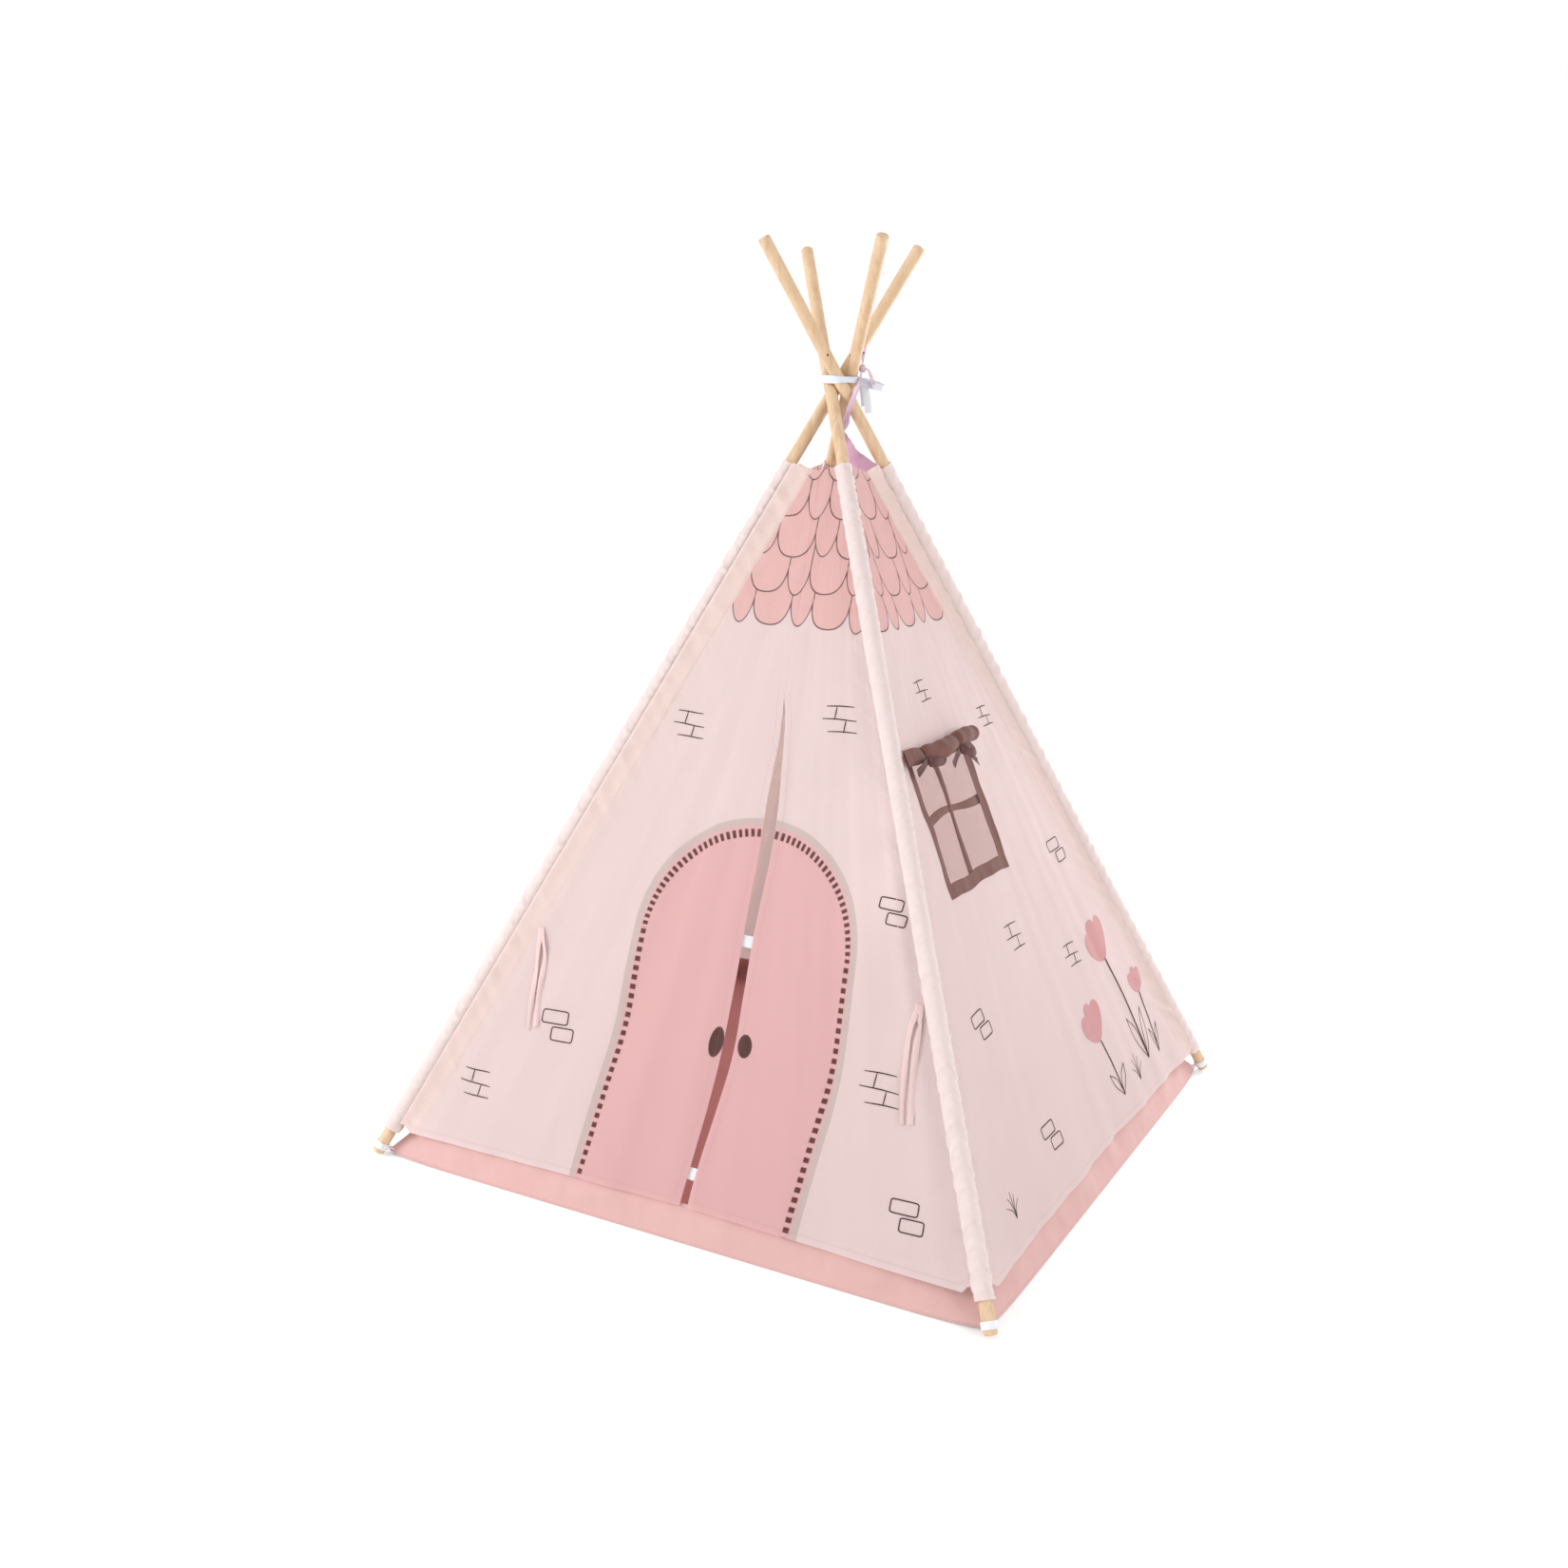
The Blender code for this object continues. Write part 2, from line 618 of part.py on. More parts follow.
def add_curtain_tie(index, frame, holder):
    """A ribbon round the rolled curtain, knotted at the front with two hanging tails."""
    name = "curtain_tie_" + ("near", "far")[index]
    inside = CURTAIN_PINCH + SEAM_GAP
    half = CURTAIN_TIE_WIDTH / 2
    profile = [(inside, -half), (inside + TRIM, -half), (inside + TRIM, half), (inside, half)]
    ring = turned(name, profile, frame, "window_trim", holder, closed=True)
    size = KNOT_RADIUS * 0.8
    front = Vector((inside * 0.25, inside + size * 1.15, 0))
    tie_knot = knot(f"{name}_knot", frame @ front, size, "window_trim")
    across = frame.to_3x3() @ Vector((0, 0, CURTAIN_TIE_WIDTH))
    tails = []
    for sign, share in ((-1, 1.0), (1, 0.8)):
        reach = CURTAIN_TIE_TAIL * share
        steps = ((0, 0, 0), (reach / 3, size / 2, sign * reach / 5), (reach, -size, sign * reach / 2))
        path = smooth_path([frame @ (front + Vector(step)) for step in steps], 3)
        tails.append(strip(f"{name}_tail_{sign}", path, [across] * len(path), TRIM, "window_trim"))
    join_solids(ring, [tie_knot, *tails])


def pole_point(corner, height):
    """A pole's axis at a height above the floor."""
    foot, _, _, along = pole_frame(corner)
    return foot + along * ((height - foot.z) / along.z)


def ribbon_edge(height, level, clear):
    """One edge of a ribbon pulled round the four poles: an arc on each pole, joined by straight runs.

    The height is the ribbon's middle, where the arcs' directions are taken, and the level its edge's.
    """
    reach = pole_radius / pole_frame(0)[3].z + clear
    steps = 6
    points = []
    for corner in sorted(range(4), key=lambda c: math.atan2(pole_point(c, height).y, pole_point(c, height).x)):
        middle = math.atan2(pole_point(corner, height).y, pole_point(corner, height).x)
        for i in range(steps + 1):
            angle = middle + math.pi / 2 * (i / steps - 0.5)
            points.append(pole_point(corner, level) + Vector((math.cos(angle), math.sin(angle), 0)) * reach)
    return points


def add_crossing_ribbon(holder):
    """The white ribbon that ties the poles, with its bow."""
    height = CROSSING_HEIGHT + RIBBON_RISE
    low, high = height - RIBBON_WIDTH / 2, height + RIBBON_WIDTH / 2
    edges = [
        ribbon_edge(height, level, RIBBON_CLEARANCE + depth)
        for level, depth in ((low, 0), (low, RIBBON_THICKNESS), (high, RIBBON_THICKNESS), (high, 0))
    ]
    outside = edges[1] + edges[2]
    bm = bmesh.new()
    rings = [[bm.verts.new(p) for p in corners] for corners in zip(*edges)]
    count = len(rings)
    for i in range(count):
        low, high = rings[i], rings[(i + 1) % count]
        for j in range(4):
            bm.faces.new((low[j], low[(j + 1) % 4], high[(j + 1) % 4], high[j]))
    band = finish_mesh("crossing_ribbon", bm, "white_tape", holder)
    out = Vector((math.cos(BOW_AZIMUTH), math.sin(BOW_AZIMUTH), 0))
    start = out * (max(p.dot(out) for p in outside) + KNOT_RADIUS * 0.6) + UP * height
    parts = [knot("bow_knot", start, KNOT_RADIUS, "white_tape")]
    for index, (turn, drop) in enumerate(zip(BOW_LOOP_TURNS, (0.35, 0.15))):
        ahead = Matrix.Rotation(turn, 3, "Z") @ out
        belly = UP.cross(ahead) * BOW_LOOP_OPENING
        tip = start + ahead * BOW_LOOP - UP * BOW_LOOP * drop
        way = [start + belly * 0.1, (start + tip) / 2 + belly, tip, (start + tip) / 2 - belly * 0.6, start - belly * 0.1]
        path = smooth_path(way, 4)
        wide = [UP * RIBBON_WIDTH] * len(path)
        parts.append(strip(f"bow_loop_{index}", path, wide, RIBBON_THICKNESS, "white_tape"))
    for index, (turn, share) in enumerate(zip(BOW_TAIL_TURNS, (1.0, 0.75))):
        ahead = Matrix.Rotation(turn, 3, "Z") @ out
        reach = BOW_TAIL * share
        way = [
            start, start + ahead * KNOT_RADIUS * 1.6 - UP * reach / 4,
            start + ahead * KNOT_RADIUS * 2.4 - UP * reach,
        ]
        path = smooth_path(way, 4)
        wide = (UP.cross(ahead) + ahead * 0.5).normalized() * RIBBON_WIDTH * 0.8
        parts.append(strip(f"bow_tail_{index}", path, [wide] * len(path), RIBBON_THICKNESS, "white_tape"))
    join_solids(band, parts)


def add_cover_strap(holder):
    """The strap that holds up the back wall's top edge: sewn to its tongue and tied to a pole."""
    tongue = down_at(sleeve_top_height) - TONGUE_RISE
    behind = -(CLOTH + RIBBON_THICKNESS) / 2 - SEAM_GAP
    sewn = [
        wall_point(2, crease(2, tongue + x), tongue + x, behind)
        for x in (STRAP_LAP, STRAP_LAP / 3)
    ]
    route = [crossing + Vector(share) * POLE_DIAMETER for share in STRAP_ROUTE_SHARES]
    corner = CORNERS.index("front_left")
    foot, pin, inward, along = pole_frame(corner)
    ring_place = (CROSSING_HEIGHT + STRAP_RING_HEIGHT - foot.z) / along.z
    ring_centre = foot + along * ring_place
    inside = pole_radius + SEAM_GAP
    half = STRAP_WIDTH / 2
    profile = [(inside, -half), (inside + RIBBON_THICKNESS, -half), (inside + RIBBON_THICKNESS, half), (inside, half)]
    strap = turned("cover_strap", profile, pole_matrix(corner, ring_place), "pink_ribbon", holder, closed=True)
    reach = inside + RIBBON_THICKNESS / 2
    toward = route[-1] - ring_centre
    toward -= along * toward.dot(along)
    lean = math.acos(reach / toward.length)
    tied_end = ring_centre + Matrix.Rotation(lean, 3, along) @ toward.normalized() * reach
    path = [sewn[0], *smooth_path([sewn[1], *route, tied_end], 4)]
    inward_face = -wall_axes(2)[2]
    side_face = Vector((1, 0, 0))
    pole_face = (tied_end - ring_centre).normalized()
    turn_at = 0.57
    widths = []
    last = len(path) - 1
    for i in range(last + 1):
        ahead = (path[min(i + 1, last)] - path[max(i - 1, 0)]).normalized()
        share = i / last
        if share < turn_at:
            face = inward_face.lerp(side_face, share / turn_at)
        else:
            face = side_face.lerp(pole_face, (share - turn_at) / (1 - turn_at))
        widths.append(ahead.cross(face).normalized() * STRAP_WIDTH)
    tied = strip("strap_run", path, widths, RIBBON_THICKNESS, "pink_ribbon")
    tie_knot = knot("strap_knot", route[-2], KNOT_RADIUS, "pink_ribbon")
    join_solids(strap, [tied, tie_knot])


def add_mat():
    """The floor mat: its corners reach the poles' feet."""
    foot, _, _, along = pole_frame(0)
    lean = along.to_2d().length / along.z
    reach = foot.to_2d().length - pole_radius * along.z - MAT * lean - SEAM_GAP
    half = reach / math.sqrt(2)
    corners = ((-half, -half), (half, -half), (half, half), (-half, half))
    outline = [lambda depth, x=x, y=y: Vector((x, y, MAT / 2 + depth)) for x, y in corners]
    plate("floor_mat", outline, MAT, "mat")


def add_foot_loop(corner):
    """An elastic loop round a pole's foot, with the tab that is sewn to the mat's corner."""
    inside = pole_radius + SEAM_GAP
    top = LOOP_FROM_FOOT + LOOP_WIDTH
    profile = [
        (inside, LOOP_FROM_FOOT), (inside + LOOP_THICKNESS, LOOP_FROM_FOOT),
        (inside + LOOP_THICKNESS, top), (inside, top),
    ]
    loop = turned(f"foot_loop_{CORNERS[corner]}", profile, pole_matrix(corner), "white_tape", closed=True)
    foot, pin, inward, along = pole_frame(corner)
    outward, clockwise = corner_directions(corner)
    start = foot + along * (LOOP_FROM_FOOT + LOOP_WIDTH * 0.4) + inward * (inside + LOOP_THICKNESS * 0.5)
    end = start.copy() - outward * LOOP_TAB_LENGTH
    end.z = MAT + SEAM_GAP + LOOP_THICKNESS / 2
    middle = (start + end) / 2
    middle.z = (start.z + 2 * end.z) / 3
    path = [start, middle, end]
    tab = strip(f"loop_tab_{corner}", path, [clockwise * LOOP_WIDTH] * len(path), LOOP_THICKNESS, "white_tape")
    join_solids(loop, [tab])


clear_scene()
materials = make_materials()
offset_at_crossing = crossing_offset()
crossing_reach = (lambda frame: (axis_ends(0, offset_at_crossing)[1] - frame[0]).dot(frame[3]))(pole_frame(0))
pole_length = crossing_reach + POLE_HEAD
sleeve_top = crossing_reach - SLEEVE_TOP_DROP
window_left = sleeve_edge(1, -1, window_top) + WINDOW_SLEEVE_GAP
sleeve_top_height = (lambda frame: frame[0].z + frame[3].z * sleeve_top)(pole_frame(0))
hem_down = down_at((lambda frame: frame[0].z + frame[3].z * SLEEVE_BOTTOM)(pole_frame(0)))

add_mat()
for corner_index, corner_name in enumerate(CORNERS):
    pin_place = axis_ends(corner_index, offset_at_crossing)[1]
    pole_holder = holder_at(f"swing_{corner_name}", pin_place)
    add_pole(corner_index, pole_holder)
    add_sleeve(corner_index, pole_holder)
    add_foot_loop(corner_index)

for wall_index, wall_name in enumerate(WALLS):
    for side_sign in (-1, 1):
        corner_index = wall_index if side_sign > 0 else (wall_index - 1) % 4
        cloth_holder = holder_at(f"crease_{wall_name}_{side_sign}", axis_ends(corner_index, offset_at_crossing)[1])
        half_wall = add_wall_half(wall_index, side_sign, cloth_holder)
        if wall_name == "door":
            flap_holder = holder_at(f"fold_{side_sign}", wall_point(0, crease(0, slit_top), slit_top))
            add_flap(side_sign, flap_holder)
            add_tieback(side_sign, cloth_holder)
            if side_sign < 0:
                add_door_tab(0, flap_holder)
                add_door_tab(1, flap_holder)
        if wall_name == "window" and side_sign < 0:
            add_window(half_wall, cloth_holder)
            add_curtain(cloth_holder)

crossing_holder = holder_at("crossing_lift", crossing)
add_crossing_ribbon(crossing_holder)
add_cover_strap(crossing_holder)
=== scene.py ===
import math

import bmesh
import bpy
import numpy as np
from mathutils import Matrix, Vector


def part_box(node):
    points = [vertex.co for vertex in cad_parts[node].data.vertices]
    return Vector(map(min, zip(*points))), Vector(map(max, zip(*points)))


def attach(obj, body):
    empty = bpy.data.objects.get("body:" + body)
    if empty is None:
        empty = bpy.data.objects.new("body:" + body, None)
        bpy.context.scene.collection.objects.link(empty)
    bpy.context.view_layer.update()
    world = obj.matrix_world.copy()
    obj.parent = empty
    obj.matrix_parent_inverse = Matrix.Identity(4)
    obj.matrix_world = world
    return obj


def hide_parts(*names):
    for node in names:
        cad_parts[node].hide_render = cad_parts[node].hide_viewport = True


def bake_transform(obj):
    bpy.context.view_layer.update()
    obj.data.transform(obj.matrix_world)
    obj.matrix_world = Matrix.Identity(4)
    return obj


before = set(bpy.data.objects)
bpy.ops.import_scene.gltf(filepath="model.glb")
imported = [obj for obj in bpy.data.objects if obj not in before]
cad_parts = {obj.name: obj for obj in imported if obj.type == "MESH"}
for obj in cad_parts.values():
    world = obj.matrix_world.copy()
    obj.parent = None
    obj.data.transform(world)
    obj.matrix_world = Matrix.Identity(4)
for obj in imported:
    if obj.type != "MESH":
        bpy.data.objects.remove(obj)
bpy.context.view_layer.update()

# The frame of poles
BASE_SIDE = 1.20
CROSSING_HEIGHT = 1.38
POLE_RADIUS = 0.011
POLE_OFFSET = 0.01743  # clockwise, where a pole passes the crossing

# The cover
CLOTH = 0.0012
SLEEVE_RADIUS = 0.014
SLEEVE_INSET = 0.0015
SLEEVE_BOTTOM = 0.051
SLEEVE_TOP = 1.453
SEAM_TUCK = 0.0016  # how far a wall's edge goes under its sleeve
TOP_EDGE_DIP = 0.010
TONGUE_RISE = 0.066
TONGUE_ASIDE = 0.033  # how far the strap pulls the tongue to one side
HEM_RISE = 0.008
HEM_DOUBLED = 0.0125  # how far in from an edge the cloth is turned over
HEM_ADDS = 0.0007  # to the cloth's thickness there
HEM_SEAM = 0.011
STRIP_SEAM = 0.003  # inside the strip's edge
STRIP_WIDTH = 0.041  # of the sleeve's strip that is sewn flat on a wall
STRIP_LIFT = 0.012  # how far that strip would stand out of the wall at its sleeve
STRIP_FALL = 0.016  # how far from the sleeve it reaches
CREASE_AT_HEM = (0.036, 0.061, 0.0, 0.0)

# The cover's folds: how far they stand up, and how far along the cloth they reach
WAVES = 4  # sines in a ripple
SAG = 0.0050
HELD_STILL = 0.035  # beside a sleeve
BROAD_FOLD = 0.0042
NARROW_FOLD = 0.0020
LEVEL_FOLD = 0.0016
HEM_FOLD = 0.0042
HEM_REACH = 0.16
STRIP_PUCKER = (0.034, 0.0040)  # how far from the sleeve it reaches, and its height
SEAM_PUCKER = (0.024, 0.0024)
PUCKER_START = 0.004
PUCKER_LENGTHS = (0.034, 0.013)
SEAM_DRAW = 0.0011  # how far the strip's seam draws the cloth in
SEAM_REACH = 0.0022
HEM_LIFT = 0.012  # beside the sleeves
SLEEVE_FOLD = 0.0037
SLEEVE_CREASE = 0.0015
SLEEVE_LENGTHS = (0.021, 0.009)  # of its folds and its creases

# The door
SLIT_TOP = 0.556
SLIT_TOP_ACROSS = 0.022
SLIT_WIDTH = 0.022
SLIT_BOW = 0.027
SLIT_STATIONS = (0.0, 0.10, 0.22, 0.36, 0.50, 0.70, 0.92, 1.0)
SLIT_SHARES = (0.0, 0.58, 1.19, 1.18, 0.93, 1.17, 0.73, 0.80)
BOW_SHARES = (0.0, 0.52, 0.74, 0.95, 0.91, 1.17, 0.46, 0.24)
DOOR_WIDTH = 0.438
TAB_PLACES = (0.996, 1.389)

# The window
WINDOW_LEFT = -0.242
WINDOW_TOP = 0.660
WINDOW_WIDTH = 0.258
WINDOW_HEIGHT = 0.246
STILE = 0.015  # the frame's width at its near side and its top
FAR_STILE = 0.024
RAIL = 0.025
TRIM = 0.0008
CURTAIN_RADIUS = 0.017
CURTAIN_LENGTH = 0.27
CURTAIN_TIES = (0.20, 0.66)  # shares of its length
CURTAIN_CLEAR = 0.0032  # from the wall's middle to the roll's back
HOLE_TUCK = 0.003  # how far the wall's cut edge goes under the window's frame

# Ribbons, ties and loops
RIBBON = 0.0008  # how thick
CROWN = 0.0010  # how far a ribbon's middle stands up
TIE_WIDTH = 0.009
TAPE_WIDTH = 0.020
BOW_WIDTH = 0.010
BOW_ABOVE = 0.011  # the crossing
BOW_AZIMUTH = 52  # degrees, where the white ribbon is tied
STRAP_WIDTH = 0.0115
TIE_KNOT, BOW_KNOT, STRAP_KNOT = 0.0062, 0.0066, 0.0068  # radii
STRAP_ABOVE = 0.064  # the crossing, where the strap goes round its pole
LOOP_WIDTH = 0.012
LOOP_LOW = 0.009  # from a pole's foot, along the pole
TAB_HIGH = 0.0150  # where the loop's tab leaves the pole

WALLS = ("door", "window", "back", "left")
CORNERS = ("front_right", "back_right", "back_left", "front_left")
UP = np.array((0.0, 0.0, 1.0))
CROSSING = np.array((0.0, 0.0, CROSSING_HEIGHT))
wall_tilt = math.atan2(BASE_SIDE / 2, CROSSING_HEIGHT)


# Places

def unit(v):
    """A vector, or an array of them, divided by its length."""
    return v / np.maximum(np.linalg.norm(v, axis=-1, keepdims=True), 1e-12)


def smooth(x):
    """3x^2 - 2x^3 between 0 and 1, and level beyond."""
    x = np.clip(x, 0.0, 1.0)
    return x * x * (3 - 2 * x)


def bell(x):
    """The exponential of -x^2."""
    return np.exp(-(x * x))


def pairs(first, second):
    """Pairs of two arrays' values, each array spread over the other's grid."""
    return np.stack(np.broadcast_arrays(first, second), -1)


def round_by(turn, first, second):
    """cos(turn) * first + sin(turn) * second, for each turn."""
    turn = np.asarray(turn)[..., None]
    return np.cos(turn) * first + np.sin(turn) * second


def level_turn(angle):
    """The matrix that turns by an angle about z."""
    c, s = math.cos(angle), math.sin(angle)
    return np.array(((c, -s, 0), (s, c, 0), (0, 0, 1)))


def level_way(degrees):
    """The level unit vector at each angle from x towards y."""
    return round_by(np.radians(degrees), np.array((1.0, 0, 0)), np.array((0, 1.0, 0)))


def wall_axes(wall):
    """Unit vectors across, down and out of a wall: those of the door wall, turned 90 degrees a wall."""
    turn = level_turn(math.pi / 2 * wall)
    sin, cos = math.sin(wall_tilt), math.cos(wall_tilt)
    return turn @ (1, 0, 0), turn @ (0, -sin, -cos), turn @ (0, -cos, sin)


def wall_place(wall, across, down, out=0.0):
    """Crossing + across * a + down * d + out * n."""
    a, d, n = wall_axes(wall)
    across, down, out = (np.asarray(v, float)[..., None] for v in np.broadcast_arrays(across, down, out))
    return CROSSING + across * a + down * d + out * n


def pole_axes(corner):
    """A pole's foot, and unit vectors along its pin, inward and along it upwards."""
    outward, clockwise = level_way(90 * corner - 45), level_way(90 * corner - 135)
    ground = outward * BASE_SIDE / math.sqrt(2)
    along = unit(CROSSING + clockwise * POLE_OFFSET - ground)
    pin = unit(clockwise - along * along.dot(clockwise))
    inward = np.cross(pin, along)
    inward = -inward if inward.dot(outward) > 0 else inward
    return ground + along * POLE_RADIUS * math.tan(math.acos(along[2])), pin, inward, along


def corner_of(wall, side):
    """The corner at a wall's left side (-1) or right side (1)."""
    return wall if side > 0 else (wall - 1) % 4


def down_at(height):
    """How far down a wall a height is."""
    return (CROSSING_HEIGHT - height) / math.cos(wall_tilt)


foot_zero, _, _, along_zero = pole_axes(0)
top_down = down_at(foot_zero[2] + along_zero[2] * SLEEVE_TOP)
hem_down = down_at(foot_zero[2] + along_zero[2] * SLEEVE_BOTTOM)
strips = {(0, -1), (1, 1), (2, 1)}  # (wall, side) where a sleeve's strip is sewn flat


def sleeve_side(wall, side, down):
    """Across coordinate of a sleeve's edge: a straight line between its ends, less its radius."""
    foot, _, inward, along = pole_axes(corner_of(wall, side))
    a, d, _ = wall_axes(wall)
    ends = [foot + along * s + inward * SLEEVE_INSET - CROSSING for s in (SLEEVE_BOTTOM, SLEEVE_TOP)]
    (x0, y0), (x1, y1) = [(e.dot(a), e.dot(d)) for e in ends]
    slope = (x1 - x0) / (y1 - y0)
    return x0 + slope * (down - y0) - side * SLEEVE_RADIUS * math.sqrt(1 + slope * slope)


def crease(wall, down):
    """Across coordinate of a wall's crease, straight from the apex to the hem.

    The door wall's bends at the slit's top, and the strap pulls the back wall's aside at the tongue.
    """
    start = -POLE_OFFSET / math.sqrt(2)
    if wall == 0:
        return np.interp(down, (0.0, SLIT_TOP, hem_down), (start, SLIT_TOP_ACROSS, CREASE_AT_HEM[0]))
    aside = TONGUE_ASIDE * smooth((0.200 - down) / 0.085) if wall == 2 else 0.0
    return np.interp(down, (0.0, hem_down), (start, CREASE_AT_HEM[wall])) + aside


def along_slit(down, shares):
    """A value down the slit: straight between its stations, with the bends rounded by a moving mean."""
    share = (down - SLIT_TOP) / (hem_down - HEM_RISE - SLIT_TOP)
    spread = np.linspace(-0.045, 0.045, 7)
    return sum(np.interp(share + shift, SLIT_STATIONS, shares) for shift in spread) / 7 * smooth(share / 0.05)


def door_bow(down):
    """How far the door's cloth hangs to the right of its crease."""
    return SLIT_BOW * along_slit(down, BOW_SHARES)


def slit_edge(side, down):
    """Across coordinate of a flap's free edge: the crease, the cloth's bow, and half the slit's width."""
    half = np.maximum(0.0002, SLIT_WIDTH / 2 * along_slit(down, SLIT_SHARES))
    return crease(0, down) + door_bow(down) + side * half


def ripple(x, seed):
    """An uneven wave: the mean of WAVES sines, whose lengths of 0.55 to 1.9 and starts come from the seed."""
    rng = np.random.default_rng(seed)
    total = 0.0
    for length, start in zip(rng.uniform(0.55, 1.9, WAVES), rng.uniform(0, 2 * np.pi, WAVES)):
        total = total + np.sin(2 * np.pi * x / length + start)
    return total / WAVES


def cloth_rise(wall, across, down):
    """How far the cloth stands out of its wall's plane.

    It sags a little between the sleeves, puckers beside them in slanting ridges that fade within some
    centimetres, hangs in long shallow folds that fan out from the top, and waves at the hem. A strip
    that is sewn flat lifts it beside the sleeve.
    """
    left = np.maximum(across - sleeve_side(wall, -1, down), 0.0)
    right = np.maximum(sleeve_side(wall, 1, down) - across, 0.0)
    share = left / np.maximum(left + right, 1e-6)
    low = np.clip((down - top_down) / (hem_down - top_down), 0, 1)
    held = smooth(np.minimum(left, right) / HELD_STILL)
    rise = -SAG * np.sin(np.pi * share) ** 0.8 * np.sin(np.pi * (0.12 + 0.80 * low)) ** 0.7
    fan = across / np.maximum(down, 0.15)
    rise += held * low * BROAD_FOLD * ripple(fan * 7.0 + down * 0.5, 11 + wall)
    rise += held * low * NARROW_FOLD * ripple(fan * 17.0, 31 + wall)
    rise += held * LEVEL_FOLD * ripple(down * 4.0 + fan * 3.0, 51 + wall)
    for side, edge in ((-1, left), (1, right)):
        strip = (wall, side) in strips
        reach, height = STRIP_PUCKER if strip else SEAM_PUCKER
        fade = np.exp(-edge / reach) * (1 - np.exp(-edge / PUCKER_START))
        slant = down + side * edge * 0.9
        long, short = (slant / length for length in PUCKER_LENGTHS)
        rise += height * fade * ripple(long, 71 + wall * 2 + side)
        rise += height * fade * 0.5 * ripple(short, 91 + wall * 2 + side)
        if strip:  # the strip comes off the sleeve's shoulder, and its seam draws the cloth in
            rise += STRIP_LIFT * np.exp(-edge / STRIP_FALL) * (1 - 0.6 * np.exp(-edge / 0.003))
            rise -= SEAM_DRAW * bell((edge - STRIP_WIDTH) / SEAM_REACH)
    hem = smooth((down - hem_down + HEM_REACH) / HEM_REACH)
    return rise + held * hem * HEM_FOLD * ripple(across * 4.6, 111 + wall)


def flap_curl(side, across, down):
    """How far a flap's free edge stands out: it dies away from the slit, and waves down its length."""
    gap = np.abs(across - slit_edge(side, down))
    low = smooth((down - SLIT_TOP) / 0.10) * smooth((hem_down - down) / 0.06 + 0.35)
    return low * np.exp(-gap / 0.020) * (0.0030 * side + 0.0022 * ripple(down * 5.0, 7 + side))


def on_cloth(wall, across, down, out=0.0):
    """A place on a wall's cloth, a distance out of its middle."""
    return wall_place(wall, across, down, cloth_rise(wall, across, down) + out)


def curve(points, steps=8):
    """A smooth curve through points: cubics, whose slope at a point is half the way between its neighbours."""
    p = np.asarray(points, float)
    p = np.concatenate([[2 * p[0] - p[1]], p, [2 * p[-1] - p[-2]]])
    t = (np.arange(steps) / steps)[None, :, None]
    p0, p1, p2, p3 = (p[i:len(p) - 3 + i][:, None] for i in range(4))
    parts = 2 * p1 + (p2 - p0) * t
    parts = parts + (2 * p0 - 5 * p1 + 4 * p2 - p3) * t ** 2 + (3 * p1 - p0 - 3 * p2 + p3) * t ** 3
    return np.concatenate([parts.reshape(-1, p.shape[1]) / 2, p[-2:-1]])


def run_of(path):
    """The length along a path at each of its points."""
    return np.concatenate([[0], np.cumsum(np.linalg.norm(np.diff(path, axis=0), axis=1))])


# Surfaces

SHARP_EDGE = math.radians(50)
WELD = 2e-6  # points as near as this are made one
CELL_CORNERS = ((slice(None, -1), slice(None, -1)), (slice(None, -1), slice(1, None)),
                (slice(1, None), slice(1, None)), (slice(1, None), slice(None, -1)))


def shell(mid, uv, thickness, keep=None, wrap=False, fields=None):
    """Cloth with two sides and a rim, from points halfway through it on a grid.

    Each side lies half the thickness along the grid's normal, which is the difference along the
    columns crossed with the one along the rows. Rim faces close it where kept cells end.
    """
    rows, cols = mid.shape[:2]
    if wrap:
        ring = np.concatenate([mid[:, -1:], mid, mid[:, :1]], 1)
        along_cols = ring[:, 2:] - ring[:, :-2]
    else:
        along_cols = np.gradient(mid, axis=1)
    normal = unit(np.cross(along_cols, np.gradient(mid, axis=0)))
    half = np.broadcast_to(np.asarray(thickness, float) / 2, (rows, cols))[..., None]
    points = np.concatenate([(mid + normal * half).reshape(-1, 3), (mid - normal * half).reshape(-1, 3)])
    index = np.arange(rows * cols).reshape(rows, cols)
    if wrap:
        index = np.concatenate([index, index[:, :1]], 1)
    uv = np.broadcast_to(uv, index.shape + (2,))
    cell = np.stack([index[c] for c in CELL_CORNERS], -1)
    cell_uv = np.stack([uv[c] for c in CELL_CORNERS], -2)
    keep = np.ones(cell.shape[:2], bool) if keep is None else keep
    faces = [cell[keep], cell[keep][:, ::-1] + rows * cols]
    face_uv = [cell_uv[keep], cell_uv[keep][:, ::-1]]
    wide = np.pad(keep, 1)
    if wrap:
        wide[1:-1, 0], wide[1:-1, -1] = keep[:, -1], keep[:, 0]
    beyond = [wide[:-2, 1:-1], wide[1:-1, 2:], wide[2:, 1:-1], wide[1:-1, :-2]]
    for k, other in enumerate(beyond):
        open_side = keep & ~other
        after = (k + 1) % 4
        start, end = cell[..., k][open_side], cell[..., after][open_side]
        start_uv, end_uv = cell_uv[..., k, :][open_side], cell_uv[..., after, :][open_side]
        faces.append(np.stack([end, start, start + rows * cols, end + rows * cols], -1))
        face_uv.append(np.stack([end_uv, start_uv, start_uv, end_uv], -2))
    values = {name: np.tile(np.broadcast_to(field, (rows, cols)).ravel(), 2)
              for name, field in (fields or {}).items()}
    return points, np.concatenate(faces), np.concatenate(face_uv), values


